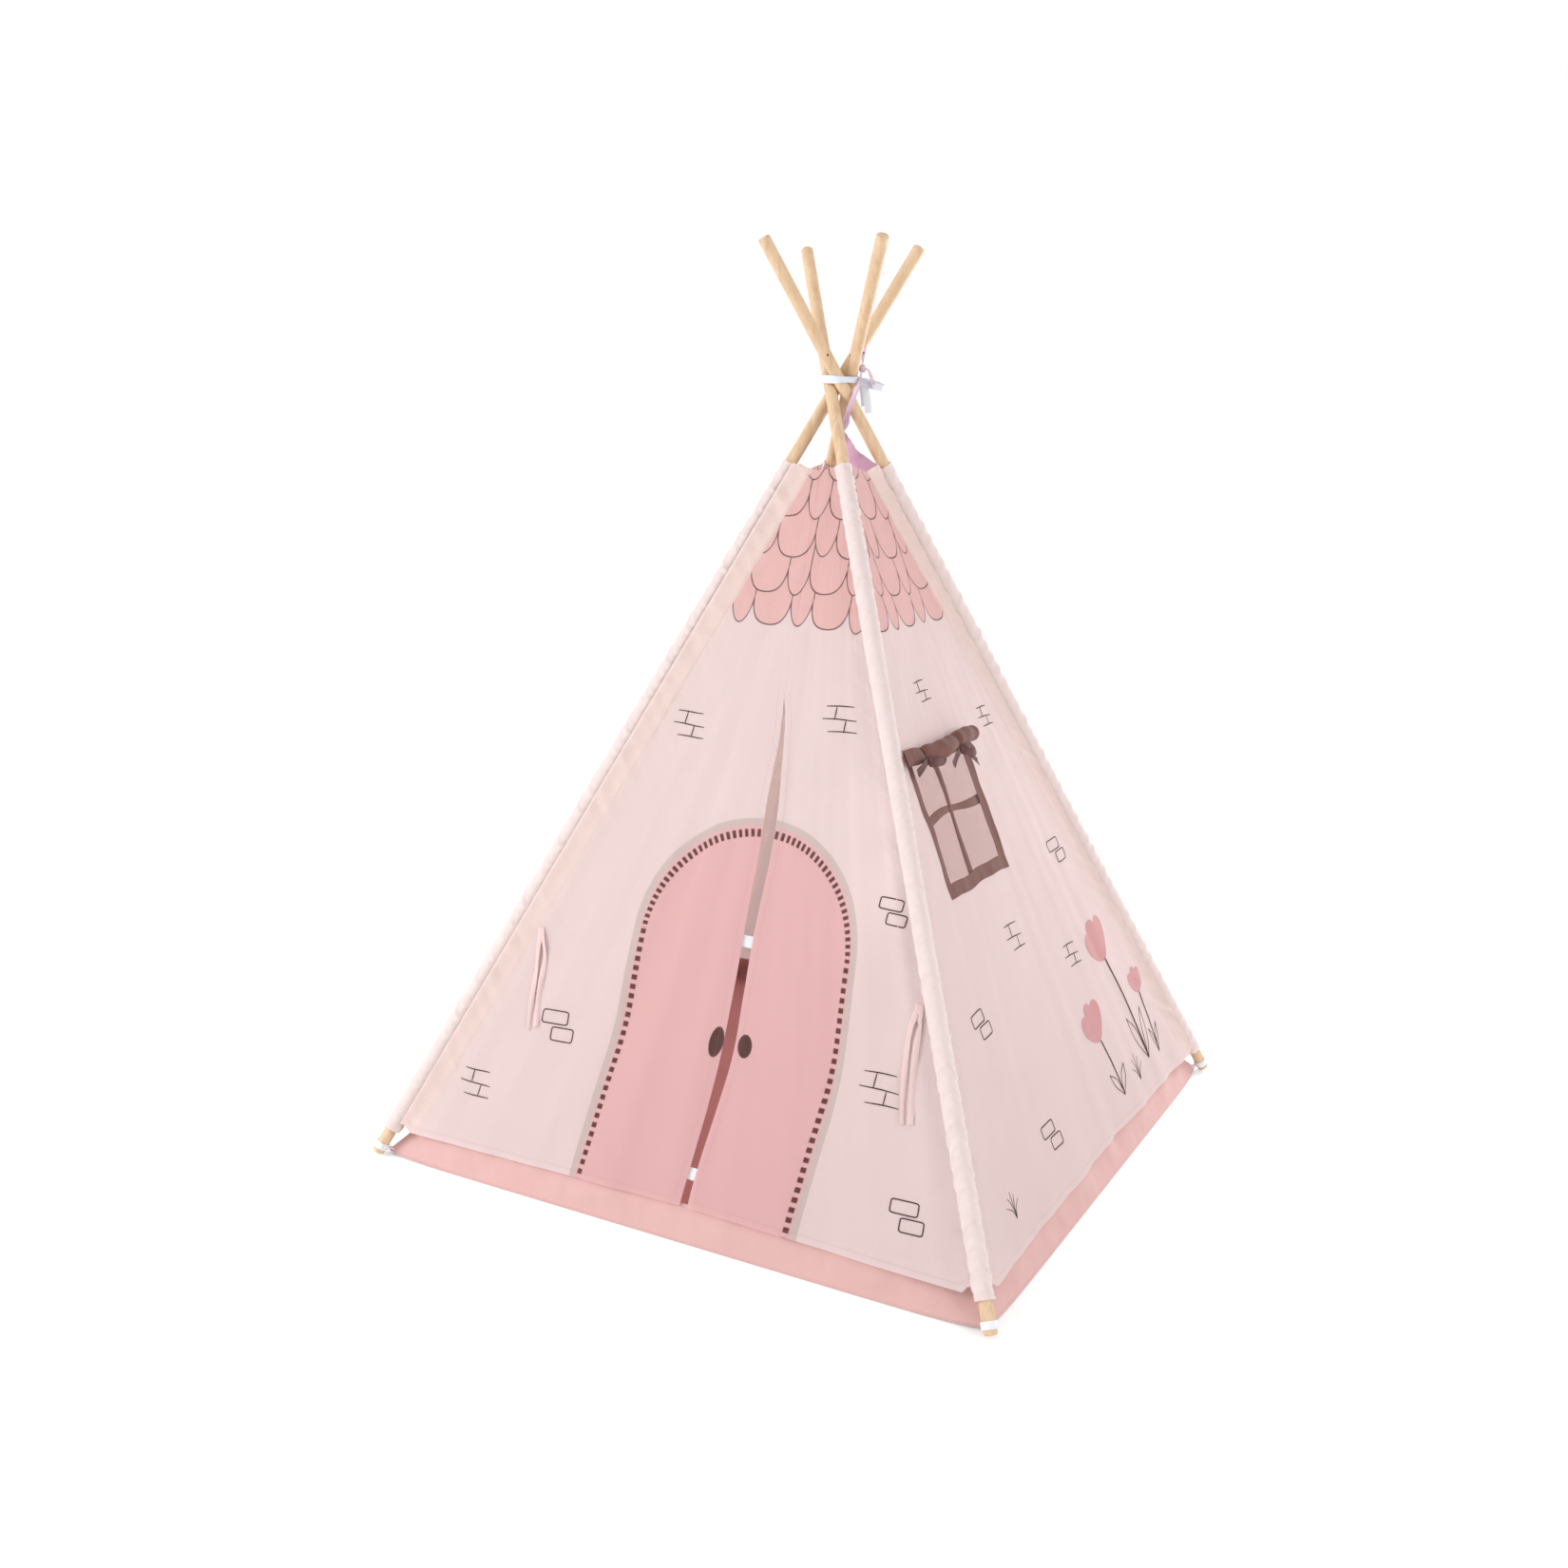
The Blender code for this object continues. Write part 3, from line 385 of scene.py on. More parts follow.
def solid_of(grid, uv):
    """A closed surface from rings of points, which goes round along the columns.

    Its end rings are points, and faces whose volume comes out negative are turned.
    """
    rows, cols = grid.shape[:2]
    index = np.arange(rows * cols).reshape(rows, cols)
    index = np.concatenate([index, index[:, :1]], 1)
    uv = np.broadcast_to(uv, index.shape + (2,))
    faces = np.stack([index[c] for c in CELL_CORNERS], -1).reshape(-1, 4)
    face_uv = np.stack([uv[c] for c in CELL_CORNERS], -2).reshape(-1, 4, 2)
    points = grid.reshape(-1, 3)
    a, b, c, d = (points[faces[:, k]] - points.mean(0) for k in range(4))
    volume = (np.cross(a, b) * c).sum() + (np.cross(a, c) * d).sum()
    if volume < 0:
        faces, face_uv = faces[:, ::-1], face_uv[:, ::-1]
    return points, faces, face_uv, {}


def ribbon(path, wide, thickness=RIBBON, crown=CROWN, columns=5):
    """A ribbon along a path, with a vector across it at each point.

    Its middle stands up by a cosine across its width.
    """
    path, wide = np.asarray(path, float), np.broadcast_to(wide, np.shape(path))
    ahead = unit(np.gradient(path, axis=0))
    wide = wide - ahead * (wide * ahead).sum(-1, keepdims=True)
    proud = unit(np.cross(ahead, wide))
    t = np.linspace(-0.5, 0.5, columns)
    stands = crown * np.cos(np.pi * t)
    mid = path[:, None] + wide[:, None] * t[:, None] + proud[:, None] * stands[:, None]
    width = np.linalg.norm(wide, axis=-1)[:, None] * t
    return shell(mid, pairs(width, run_of(path)[:, None]), thickness)


def knot_of(centre, radius, seed):
    """A small crumpled ball: a sphere whose radius swells in slanting ridges."""
    turn, lift = np.meshgrid(np.linspace(0, 2 * np.pi, 17), np.linspace(-np.pi / 2, np.pi / 2, 11))
    broad = 0.13 * np.sin(3 * turn + 2 * lift + seed) * np.cos(lift)
    swell = 1 + broad + 0.06 * np.sin(5 * turn - 3 * lift + seed)
    ball = np.stack([np.cos(lift) * np.cos(turn), np.cos(lift) * np.sin(turn), np.sin(lift)], -1)
    grid = np.asarray(centre) + (ball * swell[..., None])[:, :-1] * radius
    return solid_of(grid, pairs(turn, lift) * radius)


def piece(name, parts, finish, body=None, nodes=(), weld=False):
    """Puts parts (points, faces, UV, fields) into one object that rides on a body and stands for nodes."""
    starts = np.cumsum([0] + [len(p[0]) for p in parts])
    points = np.concatenate([p[0] for p in parts])
    faces = np.concatenate([p[1] + s for p, s in zip(parts, starts)])
    face_uv = np.concatenate([p[2] for p in parts])
    mesh = bpy.data.meshes.new(name)
    mesh.vertices.add(len(points))
    mesh.vertices.foreach_set("co", points.astype(np.float32).ravel())
    mesh.loops.add(faces.size)
    mesh.loops.foreach_set("vertex_index", faces.astype(np.int32).ravel())
    mesh.polygons.add(len(faces))
    mesh.polygons.foreach_set("loop_start", np.arange(0, faces.size, 4, dtype=np.int32))
    mesh.update(calc_edges=True)
    mesh.uv_layers.new(name="UVMap").data.foreach_set("uv", face_uv.astype(np.float32).ravel())
    for field in parts[0][3]:
        values = np.concatenate([p[3].get(field, np.ones(len(p[0]))) for p in parts])
        mesh.attributes.new(field, "FLOAT", "POINT").data.foreach_set("value", values.astype(np.float32))
    if weld:
        bm = bmesh.new()
        bm.from_mesh(mesh)
        bmesh.ops.remove_doubles(bm, verts=bm.verts, dist=WELD)
        bmesh.ops.dissolve_degenerate(bm, edges=bm.edges, dist=1e-7)
        bm.to_mesh(mesh)
        bm.free()
    mesh.validate()
    mesh.shade_smooth()
    mesh.set_sharp_from_angle(angle=SHARP_EDGE)
    mesh.materials.append(finish)
    obj = bpy.data.objects.new(name, mesh)
    bpy.context.scene.collection.objects.link(obj)
    if body:
        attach(obj, body)
    if nodes:
        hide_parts(*nodes)
    return obj


# Finishes

def tone(red, green, blue):
    """A colour from its sRGB values of 0 to 255."""
    rgb = np.array((red, green, blue)) / 255
    rgb = np.where(rgb <= 0.04045, rgb / 12.92, ((rgb + 0.055) / 1.055) ** 2.4)
    return (*rgb, 1.0)


THREADS = 620.0  # of cloth, a metre
TAPE_RIBS = 900.0  # half waves a metre
CLOTH_ROUGHNESS = 0.88
STITCHES = 260.0  # a metre
SEAM_HALF = 0.0006


def join(tree, *links):
    """Links pairs of sockets, each from the first to the second."""
    for start, end in links:
        tree.links.new(start, end)


class Field:
    """A number at each point of a surface, worked out by Math nodes."""

    def __init__(self, tree, socket):
        self.tree, self.socket = tree, socket

    def math(self, operation, *others, clamp=False):
        """A Math node's result from this number and others."""
        node = self.tree.nodes.new("ShaderNodeMath")
        node.operation, node.use_clamp = operation, clamp
        for place, value in zip(node.inputs, (self, *others)):
            if isinstance(value, Field):
                self.tree.links.new(value.socket, place)
            else:
                place.default_value = value
        return Field(self.tree, node.outputs[0])

    def __add__(self, other):
        return self.math("ADD", other)

    def __sub__(self, other):
        return self.math("SUBTRACT", other)

    def __mul__(self, other):
        return self.math("MULTIPLY", other)

    def __truediv__(self, other):
        return self.math("DIVIDE", other)

    def size(self):
        return self.math("ABSOLUTE")

    def root(self):
        return self.math("SQRT")

    def sine(self):
        return self.math("SINE")

    def part(self):
        return self.math("FRACT")

    def least(self, other):
        return self.math("MINIMUM", other)

    def most(self, other):
        return self.math("MAXIMUM", other)

    def under(self, limit, soft):
        """1 where the number is under the limit, 0 above, over a soft edge."""
        return ((self - limit) / -soft).math("ADD", 0.5, clamp=True)

    def turned(self):
        """1 less the number."""
        return (self * -1).math("ADD", 1.0)


class Finish:
    """A material being made: its tree, its UV and object coordinates, and its shader."""

    def __init__(self, name, roughness, sheen=0.0):
        self.material = bpy.data.materials.new(name)
        self.material.use_nodes = True
        self.tree = self.material.node_tree
        self.shader = self.tree.nodes["Principled BSDF"]
        self.shader.inputs["Roughness"].default_value = roughness
        self.shader.inputs["Sheen Weight"].default_value = sheen
        self.shader.inputs["Sheen Roughness"].default_value = 0.5
        self.shader.inputs["Specular IOR Level"].default_value = 0.25
        self.coordinates = self.tree.nodes.new("ShaderNodeTexCoord")
        self.bumps = []

    def uv(self):
        """The two UV coordinates."""
        split = self.tree.nodes.new("ShaderNodeSeparateXYZ")
        self.tree.links.new(self.coordinates.outputs["UV"], split.inputs[0])
        return Field(self.tree, split.outputs[0]), Field(self.tree, split.outputs[1])

    def field(self, name):
        """A number that the mesh keeps at its points."""
        node = self.tree.nodes.new("ShaderNodeAttribute")
        node.attribute_name = name
        return Field(self.tree, node.outputs["Fac"])

    def scaled(self, source, scale, turn=(0, 0, 0)):
        """Coordinates times a scale, after a turn."""
        node = self.tree.nodes.new("ShaderNodeMapping")
        node.inputs["Rotation"].default_value = turn
        node.inputs["Scale"].default_value = scale
        self.tree.links.new(self.coordinates.outputs[source], node.inputs["Vector"])
        return node.outputs[0]

    def noise(self, source, scale, detail=3.0, rough=0.55, turn=(0, 0, 0), warp=0.0):
        """Noise over scaled and turned coordinates."""
        node = self.tree.nodes.new("ShaderNodeTexNoise")
        node.inputs["Scale"].default_value = 1.0
        node.inputs["Detail"].default_value = detail
        node.inputs["Roughness"].default_value = rough
        node.inputs["Distortion"].default_value = warp
        self.tree.links.new(self.scaled(source, scale, turn), node.inputs["Vector"])
        return Field(self.tree, node.outputs["Fac"])

    def mix(self, share, under, over):
        """A colour over another by a share."""
        node = self.tree.nodes.new("ShaderNodeMix")
        node.data_type = "RGBA"
        for place, value in ((node.inputs[0], share), (node.inputs[6], under), (node.inputs[7], over)):
            if isinstance(value, Field):
                self.tree.links.new(value.socket, place)
            elif isinstance(value, bpy.types.NodeSocket):
                self.tree.links.new(value, place)
            else:
                place.default_value = value
        return node.outputs[2]

    def bump(self, height, strength, distance):
        """Adds relief: height, a field of 0 to 1, times a distance."""
        node = self.tree.nodes.new("ShaderNodeBump")
        node.inputs["Strength"].default_value = strength
        node.inputs["Distance"].default_value = distance
        self.tree.links.new(height.socket, node.inputs["Height"])
        if self.bumps:
            self.tree.links.new(self.bumps[-1].outputs[0], node.inputs["Normal"])
        self.bumps.append(node)

    def weave(self):
        """Plain weave: warp and weft as sines of the two UV directions."""
        warp, weft = ((way * (THREADS * 2 * math.pi)).sine() for way in self.uv())
        self.bump((warp * weft).math("MULTIPLY_ADD", 0.5, 0.5), 0.22, 0.00025)

    def done(self, colour, through=0.0):
        """Joins colour and relief to the shader. Thin cloth also lets some light through."""
        self.tree.links.new(colour, self.shader.inputs["Base Color"])
        if self.bumps:
            self.tree.links.new(self.bumps[-1].outputs[0], self.shader.inputs["Normal"])
        if through:
            lit = self.tree.nodes.new("ShaderNodeBsdfTranslucent")
            mixed = self.tree.nodes.new("ShaderNodeMixShader")
            mixed.inputs[0].default_value = through
            join(self.tree, (self.mix(0.35, tone(252, 248, 246), colour), lit.inputs["Color"]),
                 (self.shader.outputs[0], mixed.inputs[1]), (lit.outputs[0], mixed.inputs[2]),
                 (mixed.outputs[0], self.tree.nodes["Material Output"].inputs["Surface"]))
        return self.material


COVER = tone(247, 235, 234)
STRIP = tone(254, 243, 237)
ROOF = tone(243, 206, 203)
ROOF_LINE = tone(86, 48, 47)
DOOR = tone(242, 201, 202)
DOOR_BAND = tone(222, 210, 205)
DASH = tone(92, 42, 40)
KNOB = tone(74, 44, 42)
LILAC = tone(232, 186, 222)

ROOF_ROWS = (  # how far down a row's line is, and where its uprights start
    (0.105, 0.020), (0.175, -0.040), (0.245, -0.021), (0.318, 0.008), (0.385, -0.030), (0.447, -0.011))
ROOF_LINE_HALF = 0.00110
PETAL_WIDTH = 0.058  # the mean of wide and narrow ones
PETAL_SHIFT = 0.147  # of a width, by which every second upright is moved
PETAL_DEPTH = 0.052
PETAL_SPREAD = 0.008  # between the levels of a row's petals
ARCH = (0.0255, 1.006, 0.2210)  # centre across and down, and radius, of the door's printed arch
BAND = 0.012
DASH_ROW = 0.0200  # inside the arch
DASH_HALF = 0.0050
DASH_ARC = 0.024  # inside the arch, where the dashes' length along it is measured
DASH_STEPS = (0.0162, 0.0118)  # down the sides and round the arch
DASH_SHARE = 0.27  # half of a step's share that is inked
KNOBS = (  # centre across and down, half sizes, and lean
    ((0.0070, 1.170), (0.0125, 0.0260), 0.045),
    ((0.0624, 1.167), (0.0132, 0.0195), -0.136))


def roof_print(f, colour):
    """Rows of petals printed over a colour.

    A petal hangs below its row's line by half an ellipse, its neighbours part at upright lines, and
    each row's petals hide the tops of the next one's. A cosine makes them wide and narrow by turns.
    """
    u, v = f.uv()
    hidden, lines = None, None
    for k, (row, start) in enumerate(ROOF_ROWS):
        even = (u - start) / PETAL_WIDTH + 40.0
        place = even - (even * math.pi + math.pi / 2).sine() * PETAL_SHIFT
        x = (place.part() - 0.5) * 2.0
        random = f.tree.nodes.new("ShaderNodeTexWhiteNoise")
        random.noise_dimensions = "1D"
        f.tree.links.new((place.math("FLOOR") + 17.0 * k).socket, random.inputs["W"])
        level = Field(f.tree, random.outputs["Value"]) * PETAL_SPREAD + (row - PETAL_SPREAD / 2)
        arc = (x * x).turned().most(0.0004).root()
        bottom = level - (arc.turned() * PETAL_DEPTH)
        steep = (x / (arc + 0.03)) * (2 * PETAL_DEPTH / PETAL_WIDTH)
        to_arc = (v - bottom).size() / (steep * steep + 1.0).root()
        to_side = (x.size().turned() * (PETAL_WIDTH / 2)).most(v - (level - PETAL_DEPTH))
        line = to_arc.least(to_side).under(ROOF_LINE_HALF, 0.0008)
        if hidden is not None:
            line = line * hidden.turned()
        lines = line if lines is None else lines.most(line)
        hidden = (v - bottom).under(0.0, 0.0006)
    colour = f.mix(hidden, colour, ROOF)
    return f.mix(lines, colour, ROOF_LINE)


def door_print(f, colour):
    """The printed door: an arch on straight sides, with a pale band, a row of dashes and two knobs.

    The arch's distance is the length of (across - centre, what the centre line is below the point).
    """
    u, v = f.uv()
    across, middle, radius = ARCH
    x = u - across
    y = (v * -1 + middle).most(0.0)
    reach = (x * x + y * y).root()
    printed = reach.under(radius, 0.0012)
    colour = f.mix(printed, colour, DOOR_BAND)
    colour = f.mix(reach.under(radius - BAND, 0.0012), colour, DOOR)
    turn = x.math("ARCTAN2", y) * (radius - DASH_ARC)
    on_arc = y.under(0.0005, 0.001).turned()
    beside = (v / DASH_STEPS[0]).part()
    above = (turn / DASH_STEPS[1] + 50.0).part()
    step = f.tree.nodes.new("ShaderNodeMix")
    join(f.tree, (on_arc.socket, step.inputs[0]), (beside.socket, step.inputs[2]),
         (above.socket, step.inputs[3]))
    gap = (Field(f.tree, step.outputs[0]) - 0.5).size().under(DASH_SHARE, 0.06)
    from_row = (reach - (radius - DASH_ROW) + y * 0.028).size() - y * 0.010
    dashes = gap * from_row.under(DASH_HALF, 0.0008)
    colour = f.mix(dashes, colour, DASH)
    for (cx, cy), (rx, ry), lean in KNOBS:
        dx, dy = u - cx, v - cy
        along = (dx * math.cos(lean) + dy * math.sin(lean)) / rx
        down = (dy * math.cos(lean) - dx * math.sin(lean)) / ry
        colour = f.mix((along * along + down * down).root().under(1.0, 0.05), colour, KNOB)
    return colour


def cloth_finish(name, door=False, tongue=False):
    """Printed cotton: weave, faint creases, the prints, the sleeve's flat strip and the sewn hems."""
    f = Finish(name, CLOTH_ROUGHNESS, sheen=0.12)
    soft = f.noise("UV", (5.0, 3.0, 1.0), 4.0)
    colour = f.mix(soft, COVER, tone(243, 228, 227))
    fine = f.noise("UV", (160.0, 160.0, 1.0), 3.0)
    colour = roof_print(f, colour)
    if door:
        colour = door_print(f, colour)
    if tongue:
        _, v = f.uv()
        colour = f.mix(v.under(0.205, 0.05) * 0.9, colour, LILAC)
    strip = f.field("strip").under(STRIP_WIDTH, 0.0008)
    streak = f.noise("UV", (26.0, 44.0, 1.0), 3.0, 0.6, turn=(0, 0, 0.6), warp=0.5)
    colour = f.mix(strip, colour, f.mix(streak, STRIP, tone(250, 231, 225)))
    colour = f.mix((fine - 0.5) * 0.10 + 0.03, colour, tone(205, 170, 168))
    u, v = f.uv()
    seam = (f.field("hem") - HEM_SEAM).size().under(SEAM_HALF, SEAM_HALF)
    stitch = ((u + v) * STITCHES).part().under(0.62, 0.1)
    strip_seam = (f.field("strip") - (STRIP_WIDTH - STRIP_SEAM)).size().under(SEAM_HALF, SEAM_HALF)
    sewn = seam.most(strip_seam) * stitch
    colour = f.mix(sewn * 0.40, colour, tone(206, 164, 160))
    f.weave()
    f.bump(sewn.turned(), 0.35, 0.0008)
    f.bump(f.noise("UV", (9.0, 6.0, 1.0), 4.0, 0.5, warp=0.8), 0.30, 0.006)
    return f.done(colour, through=0.50)


def plain_cloth(name, light, dark, creases, depth=0.003, through=0.0):
    """Woven cloth of one colour, a little uneven, with weave and soft creases."""
    f = Finish(name, CLOTH_ROUGHNESS, sheen=0.12)
    colour = f.mix(f.noise("UV", creases, 4.0, 0.6), light, dark)
    colour = f.mix((f.noise("UV", (300.0, 300.0, 1.0), 2.0) - 0.5) * 0.25 + 0.05, colour, dark)
    f.weave()
    f.bump(f.noise("UV", creases, 4.0, 0.55, warp=0.6), 0.35, depth)
    return f.done(colour, through)


def mat_finish():
    """The mat's cotton: paler on the border; deeper on the padded floor inside the tent, which is painted
    shade.
    """
    f = Finish("mat_cotton", CLOTH_ROUGHNESS, sheen=0.12)
    uneven = f.noise("UV", (8.0, 8.0, 1.0), 4.0, 0.6)
    border = f.mix(uneven, tone(220, 180, 176), tone(212, 168, 165))
    # painted shade: the floor inside the tent gets a deeper pink than the border, standing in for the tent's
    # shade
    inside = f.mix(uneven, tone(226, 164, 162), tone(218, 150, 149))
    f.weave()
    f.bump(f.noise("UV", (9.0, 9.0, 1.0), 4.0, 0.55, warp=0.8), 0.35, 0.006)
    return f.done(f.mix(f.field("inner"), border, inside))


def pine(corner):
    """Planed pine: long grain along the pole, in paler and darker rings, patches and fine fibres."""
    _, pin, inward, along = pole_axes(corner)
    turn = Matrix((pin, inward, along)).to_euler()  # world to pole: rows are the pole's own axes
    f = Finish(f"pine_{CORNERS[corner]}", 0.52)
    f.shader.inputs["Specular IOR Level"].default_value = 0.4
    rings = f.noise("Object", (95.0, 95.0, 2.2), 3.0, 0.5, turn, warp=0.7)
    fibres = f.noise("Object", (900.0, 900.0, 9.0), 3.0, 0.6, turn)
    patches = f.noise("Object", (7.0, 7.0, 1.4), 2.0, 0.5, turn)
    ringed = ((rings - 0.34) * 2.6).math("ADD", 0.0, clamp=True)
    colour = f.mix(ringed, tone(228, 199, 166), tone(206, 171, 134))
    colour = f.mix(((patches - 0.45) * 2.0).math("ADD", 0.0, clamp=True), colour, tone(216, 182, 144))
    colour = f.mix((fibres - 0.5).math("MULTIPLY", 0.7, clamp=True), colour, tone(188, 150, 114))
    f.bump(fibres, 0.25, 0.0003)
    return f.done(colour)


def tape(name, light, dark, through=0.0):
    """Woven tape or ribbon: fine ribs across its length."""
    f = Finish(name, 0.62, sheen=0.1)
    _, v = f.uv()
    rib = (v * (TAPE_RIBS * math.pi)).sine().math("MULTIPLY_ADD", 0.5, 0.5)
    edge = f.noise("UV", (60.0, 30.0, 1.0), 3.0)
    f.bump(rib, 0.35, 0.0003)
    return f.done(f.mix(edge, light, dark), through)


cover = cloth_finish("printed_cotton")
cover_door = cloth_finish("printed_cotton_door", door=True)
cover_back = cloth_finish("printed_cotton_tongue", tongue=True)
sleeve_cloth = plain_cloth("cream_cotton", tone(255, 243, 240), tone(250, 232, 229), (60.0, 34.0, 1.0),
                           depth=0.006, through=0.30)
mat_cloth = mat_finish()
mauve_cloth = plain_cloth("mauve_brown_cotton", tone(127, 86, 78), tone(106, 70, 63), (40.0, 40.0, 1.0))
mauve_ties = plain_cloth("dark_mauve_cotton", tone(104, 66, 66), tone(84, 50, 52), (60.0, 60.0, 1.0))
white_tape = tape("white_tape", tone(246, 246, 250), tone(228, 232, 240))
white_satin = tape("white_ribbon", tone(244, 247, 253), tone(220, 228, 243), through=0.1)
lilac_tape = tape("lilac_ribbon", tone(232, 203, 218), tone(218, 184, 202), through=0.1)
pink_ribbon = tape("pink_ribbon", tone(234, 208, 205), tone(226, 196, 193), through=0.1)

steel = Finish("ferrule_steel", 0.3)
steel.shader.inputs["Metallic"].default_value = 1.0
brushed = steel.noise("Object", (400.0, 400.0, 400.0), 3.0)
steel.bump(brushed, 0.15, 0.0002)
steel = steel.done(steel.mix(brushed, tone(196, 198, 202), tone(150, 152, 158)))


# Walls

window_left, window_right = WINDOW_LEFT + STILE, WINDOW_LEFT + WINDOW_WIDTH - FAR_STILE
window_high, window_low = WINDOW_TOP + STILE, WINDOW_TOP + WINDOW_HEIGHT - RAIL


def half_grid(wall, side, rows=176, columns=74):
    """Across and down of half a wall, from its top edge to the hem, and from the sleeve to the crease.

    Down goes evenly from the top edge, which the tongue curves up, to the hem. Across goes from the
    sleeve's edge to the crease, or to the slit.
    """
    share = np.linspace(0, 1, columns) ** 1.15
    rise = TONGUE_RISE * np.minimum(share / 0.8, 1) ** 1.45 if wall == 2 else -TOP_EDGE_DIP * share
    top = top_down - rise
    hem = hem_down - HEM_RISE * share - HEM_LIFT * smooth((0.030 - share * BASE_SIDE / 2) / 0.020)
    bend = (SLIT_TOP - top[-1]) / (hem[-1] - top[-1])
    first = round(rows * bend)
    step = np.concatenate([np.linspace(0, bend, first), np.linspace(bend, 1, rows - first + 1)[1:]])
    down = top + (hem - top) * step[:, None]
    outer = sleeve_side(wall, side, down) + side * SEAM_TUCK
    inner = slit_edge(side, down) if wall == 0 else crease(wall, down) + side * 0.0001
    return outer + (inner - outer) * share, down, hem


def wall_half(wall, side):
    """Half a wall's cloth: its grid on the wall, lifted by the cloth's own rise, thicker at sewn edges."""
    across, down, hem = half_grid(wall, side)
    edge = np.maximum(hem - down, 0.0)
    rise = cloth_rise(wall, across, down)
    if wall == 0:
        gap = np.abs(across - slit_edge(side, down))
        edge = np.minimum(edge, np.where(down > SLIT_TOP, gap, 1.0))
        rise = rise + flap_curl(side, across, down)
    thickness = CLOTH + HEM_ADDS * smooth((HEM_DOUBLED - edge) / 0.002)
    strip = np.abs(across - sleeve_side(wall, side, down)) if (wall, side) in strips else 1.0
    strip = strip + 4 * np.maximum(top_down - 0.004 - down, 0) * (wall == 2)
    inside = side * (sleeve_side(wall, side, down) - across)
    printed = across - (door_bow(down) * smooth(inside / 0.22) if wall == 0 else 0.0)
    keep = None
    if wall == 1 and side < 0:  # the window's opening; the grid's nearest lines move to its edges
        left, right = window_left - HOLE_TUCK, window_right + HOLE_TUCK
        high, low = window_high - HOLE_TUCK, window_low + HOLE_TUCK
        for line in (left, right):
            near = (np.abs(across - line) < 0.0042) & (down > high - 0.005) & (down < low + 0.005)
            across = np.where(near, line, across)
        for line in (high, low):
            near = (np.abs(down - line) < 0.0040) & (across > left - 0.005) & (across < right + 0.005)
            down = np.where(near, line, down)
        middle = [(g[:-1, :-1] + g[1:, :-1] + g[:-1, 1:] + g[1:, 1:]) / 4 for g in (across, down)]
        keep = ~((middle[0] > left) & (middle[0] < right) & (middle[1] > high) & (middle[1] < low))
    mid = wall_place(wall, across, down, rise)
    if side > 0:  # columns go from left to right, so that the cloth's normal is outward
        mid, printed, down, thickness, edge, strip = (
            grid[:, ::-1] for grid in (mid, printed, down, thickness, edge, strip))
    return shell(mid, pairs(printed, down), thickness, keep, fields={"strip": strip, "hem": edge})


def cut_size(part):
    """The flat width, length and area of a wall half, from its UV, which is its pattern in metres."""
    uv = part[2]
    half = uv[:len(uv) // 2]
    x, y = half[..., 0], half[..., 1]
    area = np.abs((x * np.roll(y, -1, 1) - y * np.roll(x, -1, 1)).sum(1)).sum() / 2
    flat = uv.reshape(-1, 2)
    return (float(np.ptp(flat[:, 0])), float(np.ptp(flat[:, 1]))), float(area)


for wall, wall_name in enumerate(WALLS):
    for side in (-1, 1):
        corner_name = CORNERS[corner_of(wall, side)]
        node = f"{wall_name}_wall_{corner_name}"
        part = wall_half(wall, side)
        if wall == 0:
            flap = "right" if side > 0 else "left"
            obj = piece(f"door_cloth_{flap}", [part], cover_door)
            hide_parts(node, f"door_flap_{flap}")
            foot = np.array((CREASE_AT_HEM[0] + side * DOOR_WIDTH / 2, hem_down))
            top = np.array((SLIT_TOP_ACROSS, SLIT_TOP))
            line = unit(foot - top)
            inward = np.array((-side * line[1], side * line[0]))
            middle = (foot + top) / 2
            start, end = (wall_place(0, *(middle + inward * reach)) for reach in (0.0, 0.028))
            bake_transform(obj)
        else:
            finish = cover_back if wall == 2 else cover
            obj = piece(f"{wall_name}_cloth_{corner_name}", [part], finish, f"cloth_{node}", [node])
        flat, area = cut_size(part)


# Sleeves and poles

def sleeve(corner):
    """A cloth tube round a pole: rings whose radius swells in slanting puckers, drawn in at the top."""
    foot, pin, inward, along = pole_axes(corner)
    rows, cols = 420, 30
    s = np.linspace(SLEEVE_BOTTOM, SLEEVE_TOP, rows)[:, None]
    turn = np.linspace(0, 2 * np.pi, cols, endpoint=False)
    share = (s - SLEEVE_BOTTOM) / (SLEEVE_TOP - SLEEVE_BOTTOM)
    base = SLEEVE_RADIUS - CLOTH / 2 - 0.0010 * smooth((share - 0.86) / 0.12)
    base = base + 0.0004 * np.sin(share * 9 + corner)
    slant = s + 0.016 * np.sin(turn + corner * 1.7) + 0.006 * np.sin(2 * turn)
    pucker = 0.5 + 0.5 * ripple(slant / SLEEVE_LENGTHS[0], 200 + corner)
    fine = 0.5 + 0.5 * ripple(slant / SLEEVE_LENGTHS[1] + turn / np.pi, 230 + corner)
    radius = base + SLEEVE_FOLD * pucker ** 2 + SLEEVE_CREASE * fine ** 2
    hem = np.minimum(s - SLEEVE_BOTTOM, SLEEVE_TOP - s)
    ring = foot + inward * SLEEVE_INSET + s[..., None] * along
    mid = ring + radius[..., None] * round_by(turn, pin, inward)
    around = np.linspace(0, 2 * np.pi * SLEEVE_RADIUS, cols + 1)
    thickness = CLOTH + 0.0006 * smooth((0.010 - hem) / 0.002) * np.ones(cols)
    return shell(mid, pairs(around, s), thickness, wrap=True)


